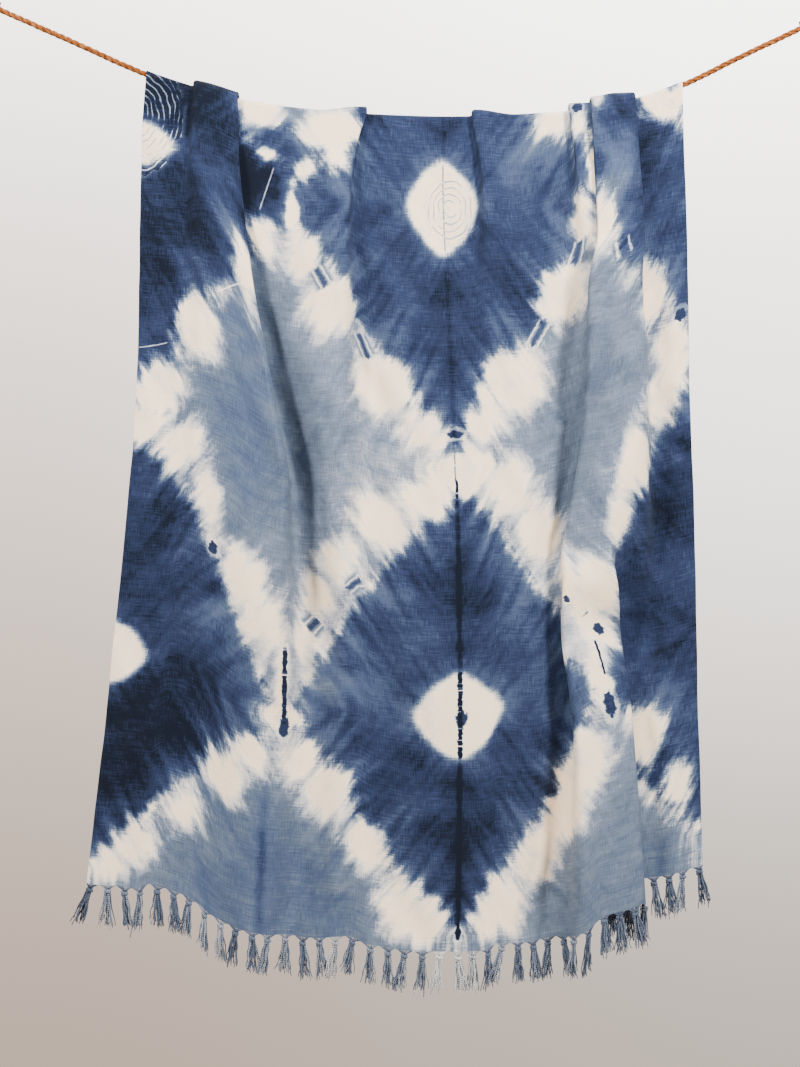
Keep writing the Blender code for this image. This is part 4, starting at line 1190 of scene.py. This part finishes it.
class THROW_OT_rope(bpy.types.Operator):
    """Lays the coir rope from eye to eye, with its loose fibres and its two seized eyes"""

    bl_idname = "throw.rope"
    bl_label = "Rope and eyes"

    def execute(self, context):
        settings = context.scene.throw_rope
        look = coir(settings)
        chance = np.random.default_rng(5)
        points, ways, ups = rope_line()
        run = run_along(points)
        tubes = Tubes()
        lay_strands(tubes, points, ups, run, settings.lay, chance)
        rope = new_object("rope_laid", tubes.mesh("rope_laid", "strand"), look)
        hair = Tubes()
        fibres_on(hair, points, ways, chance)
        fibres = new_object("rope_fibres", hair.mesh("rope_fibres", "strand"), look)
        eyes = [
            self.make_eye("rope_eye_left_seized", points[0], -ways[0], ups[0], settings, look, chance),
            self.make_eye("rope_eye_right_seized", points[-1], ways[-1], ups[-1], settings, look, chance),
        ]
        for piece in [rope, fibres, *eyes]:
            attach(piece, BODY)
        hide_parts("rope")
        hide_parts("rope_eye_left")
        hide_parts("rope_eye_right")
        path = points[::PATH_EVERY]
        if len(points) % PATH_EVERY != 1:
            path = np.vstack([path, points[-1]])
        return {"FINISHED"}

    def make_eye(self, name, start, out, up, settings, look, chance):
        """A seized eye: the laid rope turned back on itself, bound with twine."""
        face = start + out * (TOUCH_GAP + SEIZING_LENGTH)
        path = []
        for turn in np.linspace(0, 2 * math.pi, EYE_STEPS + 1):
            away = (1 - math.cos(turn)) / 2
            leg = EYE_LEG_SPREAD * math.copysign(1 - away, math.pi - turn)
            across = EYE_HALF_WIDTH * math.sin(turn) * 2 * away / EYE_FULLEST + leg
            path.append(face + out * EYE_LENGTH * away + up * across)
        path = np.array([path[0] - out * EYE_LEG_IN_SEIZING, *path, path[-1] - out * EYE_LEG_IN_SEIZING])
        run = run_along(path)
        steps = np.linspace(0, run[-1], EYE_SAMPLES)
        path = np.column_stack([np.interp(steps, run, path[:, i]) for i in range(3)])
        along = unit(np.gradient(path, axis=0))
        tubes = Tubes()
        lay_strands(tubes, path, np.cross(FRONTWARD, along), steps, settings.lay, chance)
        angle = np.linspace(0, 2 * math.pi * TWINE_TURNS, TWINE_TURNS * TWINE_SAMPLES)
        share = angle / angle[-1]
        swell = 0.90 + 0.06 * np.sin(math.pi * share)
        twine = (
            start
            + out * (TOUCH_GAP + TWINE_MARGIN + (SEIZING_LENGTH - 2 * TWINE_MARGIN) * share[:, None])
            + up * (SEIZING_HALF_WIDTH * swell * np.cos(angle))[:, None]
            + FRONTWARD * (SEIZING_HALF_DEPTH * swell * np.sin(angle))[:, None]
        )
        tubes.add(twine, np.full_like(angle, TWINE_RADIUS), TWINE_SIDES, side_by_side(11.0, angle, 0.0))
        return new_object(name, tubes.mesh(name, "strand"), look)


class THROW_OT_cloth(bpy.types.Operator):
    """Drapes the dyed sheet over the rope"""

    bl_idname = "throw.cloth"
    bl_label = "Dyed sheet"

    def execute(self, context):
        settings = context.scene.throw_cloth
        drape = Drape(settings.width, settings.length, settings.thickness)
        grid = drape.grid()
        u = grid[:, :, 3]
        v = grid[:, :, 4]
        side = np.where(np.arange(grid.shape[0]) <= FRONT_ROWS, -1.0, 0.0)[:, None]
        free = ease((drape.length * RIPPLES_END - v) / RIPPLES_FADE)
        grid[:, :, 1] += side * free * ripples(u, v)
        mesh = sheet_mesh("throw_sheet", grid, fields_on_cloth(u, v))
        cloth = new_object("throw_sheet", mesh, dyed_cotton(settings))
        shell = cloth.modifiers.new("thickness", "SOLIDIFY")
        shell.thickness = settings.thickness
        shell.offset = 0.0
        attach(cloth, BODY)
        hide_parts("cloth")
        return {"FINISHED"}


class THROW_OT_fringe(bpy.types.Operator):
    """Knots the tassels along the front hem"""

    bl_idname = "throw.fringe"
    bl_label = "Fringe"

    def execute(self, context):
        cloth = context.scene.throw_cloth
        settings = context.scene.throw_fringe
        drape = Drape(cloth.width, cloth.length, cloth.thickness)
        hem = drape.fall(np.tile(drape.across, (len(LEVELS), 1)), 1.0, -1)
        hem[:, 1] -= ripples(hem[:, 3], hem[:, 4])
        chance = np.random.default_rng(3)
        tubes = Tubes()
        for i, middle in enumerate(np.linspace(TASSEL_INSET, cloth.width - TASSEL_INSET, settings.tassels)):
            self.tassel(tubes, hem, middle, TASSEL_TONES.get(i), settings, chance)
        fringe = new_object("fringe_tassels", tubes.mesh("fringe_tassels", "yarn"), dyed_yarn(settings))
        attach(fringe, BODY)
        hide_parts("fringe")
        return {"FINISHED"}

    def on_hem(self, hem, across):
        return np.array([np.interp(across, hem[:, 3], hem[:, i]) for i in range(3)])

    def tassel(self, tubes, hem, middle, tone, settings, chance):
        """Warp ends gathered in an overhand knot, and the loose skirt below it."""
        root = self.on_hem(hem, middle)
        way = unit(self.on_hem(hem, middle + 0.004) - self.on_hem(hem, middle - 0.004))
        back = unit(np.array([-way[1], way[0], 0.0]))
        depth = chance.normal(YARN_DEPTH, 0.08)
        depth = depth if tone is None else tone
        lean = way * chance.normal(0, 0.16) + back * chance.normal(0, 0.05)
        knot = root + DOWN * (KNOT_DROP + chance.uniform(-0.001, 0.001)) + lean * 0.008
        for t in np.linspace(-1, 1, WARP_ENDS):
            across = np.clip(middle + t * WARP_REACH, HEM_INSET, hem[-1, 3] - HEM_INSET)
            start = self.on_hem(hem, across) - DOWN * WARP_IN_HEM
            bend = start * 0.30 + knot * 0.70 + way * t * 0.0012 + back * chance.normal(0, 0.0004)
            values = np.tile([depth + chance.normal(0, 0.08), 0, 0], (4, 1))
            tubes.add([start, start * 0.7 + bend * 0.3, bend, knot], WARP_RADII, YARN_SIDES, values)
        turns = np.linspace(0, 2 * math.pi * KNOT_TURNS, KNOT_SAMPLES)
        share = turns / turns[-1]
        ring = (
            knot
            + DOWN * (0.0002 + KNOT_LENGTH * share)[:, None]
            + way * (KNOT_HALF_WIDTH * np.cos(turns))[:, None]
            + back * (KNOT_HALF_DEPTH * np.sin(turns))[:, None]
        )
        radii = 0.0024 + 0.0009 * np.sin(math.pi * share)
        tubes.add(ring, radii, TWINE_SIDES, side_by_side(depth, turns * 9, 0.0))
        for i in range(settings.yarns):
            self.yarn(tubes, knot, way, back, lean, depth, settings, i, chance)

    def yarn(self, tubes, knot, way, back, lean, depth, settings, number, chance):
        """One twisted yarn of the skirt, wavy and thinning towards its tip."""
        angle = 2 * math.pi * (number * GOLDEN_TURN + chance.uniform(-0.1, 0.1))
        ring = math.sqrt((number + 0.5) / settings.yarns)
        length = settings.drop - KNOT_DROP - KNOT_HIDES + chance.normal(0, 0.0042)
        steps = np.linspace(0, 1, YARN_SAMPLES)
        spread = ring * (0.0046 + 0.0092 * steps**0.9 * chance.uniform(0.6, 1.30))
        waves = chance.uniform(7, 15)
        wave = 0.0013 * np.sin(steps * waves + chance.uniform(0, 6)) * np.sqrt(steps)
        side = 0.0009 * np.sin(steps * waves * 0.9 + chance.uniform(0, 6)) * np.sqrt(steps)
        sway = chance.normal(0, 0.0026) * steps**2
        path = (
            knot
            + (DOWN + lean * 0.8) * (KNOT_HIDES + length * steps)[:, None]
            + way * (spread * math.cos(angle) + wave + sway)[:, None]
            + back * (spread * 0.6 * math.sin(angle) + side)[:, None]
        )
        tone = depth + chance.choice([-0.16, -0.04, 0.04, 0.12]) + chance.normal(0, 0.05)
        radii = YARN_RADIUS * (1 - 0.30 * steps**2)
        tubes.add(path, radii, YARN_SIDES, side_by_side(tone, steps * 90, steps), chance.uniform(0, 6))


class THROW_PT_panel(bpy.types.Panel):
    bl_label = "Throw"
    bl_idname = "THROW_PT_panel"
    bl_space_type = "VIEW_3D"
    bl_region_type = "UI"
    bl_category = "Throw"

    def draw(self, context):
        scene = context.scene
        for operator, settings in (
            (THROW_OT_stage, None),
            (THROW_OT_rope, scene.throw_rope),
            (THROW_OT_cloth, scene.throw_cloth),
            (THROW_OT_fringe, scene.throw_fringe),
        ):
            self.layout.operator(operator.bl_idname)
            for name in getattr(settings, "__annotations__", {}):
                self.layout.prop(settings, name)


CLASSES = (
    ThrowSettings,
    FringeSettings,
    RopeSettings,
    THROW_OT_stage,
    THROW_OT_rope,
    THROW_OT_cloth,
    THROW_OT_fringe,
    THROW_PT_panel,
)


def register():
    for made in CLASSES:
        bpy.utils.register_class(made)
    bpy.types.Scene.throw_cloth = bpy.props.PointerProperty(type=ThrowSettings)
    bpy.types.Scene.throw_fringe = bpy.props.PointerProperty(type=FringeSettings)
    bpy.types.Scene.throw_rope = bpy.props.PointerProperty(type=RopeSettings)


def unregister():
    del bpy.types.Scene.throw_rope
    del bpy.types.Scene.throw_fringe
    del bpy.types.Scene.throw_cloth
    for made in reversed(CLASSES):
        bpy.utils.unregister_class(made)


def main():
    register()
    bpy.ops.throw.stage()
    bpy.ops.throw.rope()
    bpy.ops.throw.cloth()
    bpy.ops.throw.fringe()


if __name__ == "__main__":
    main()
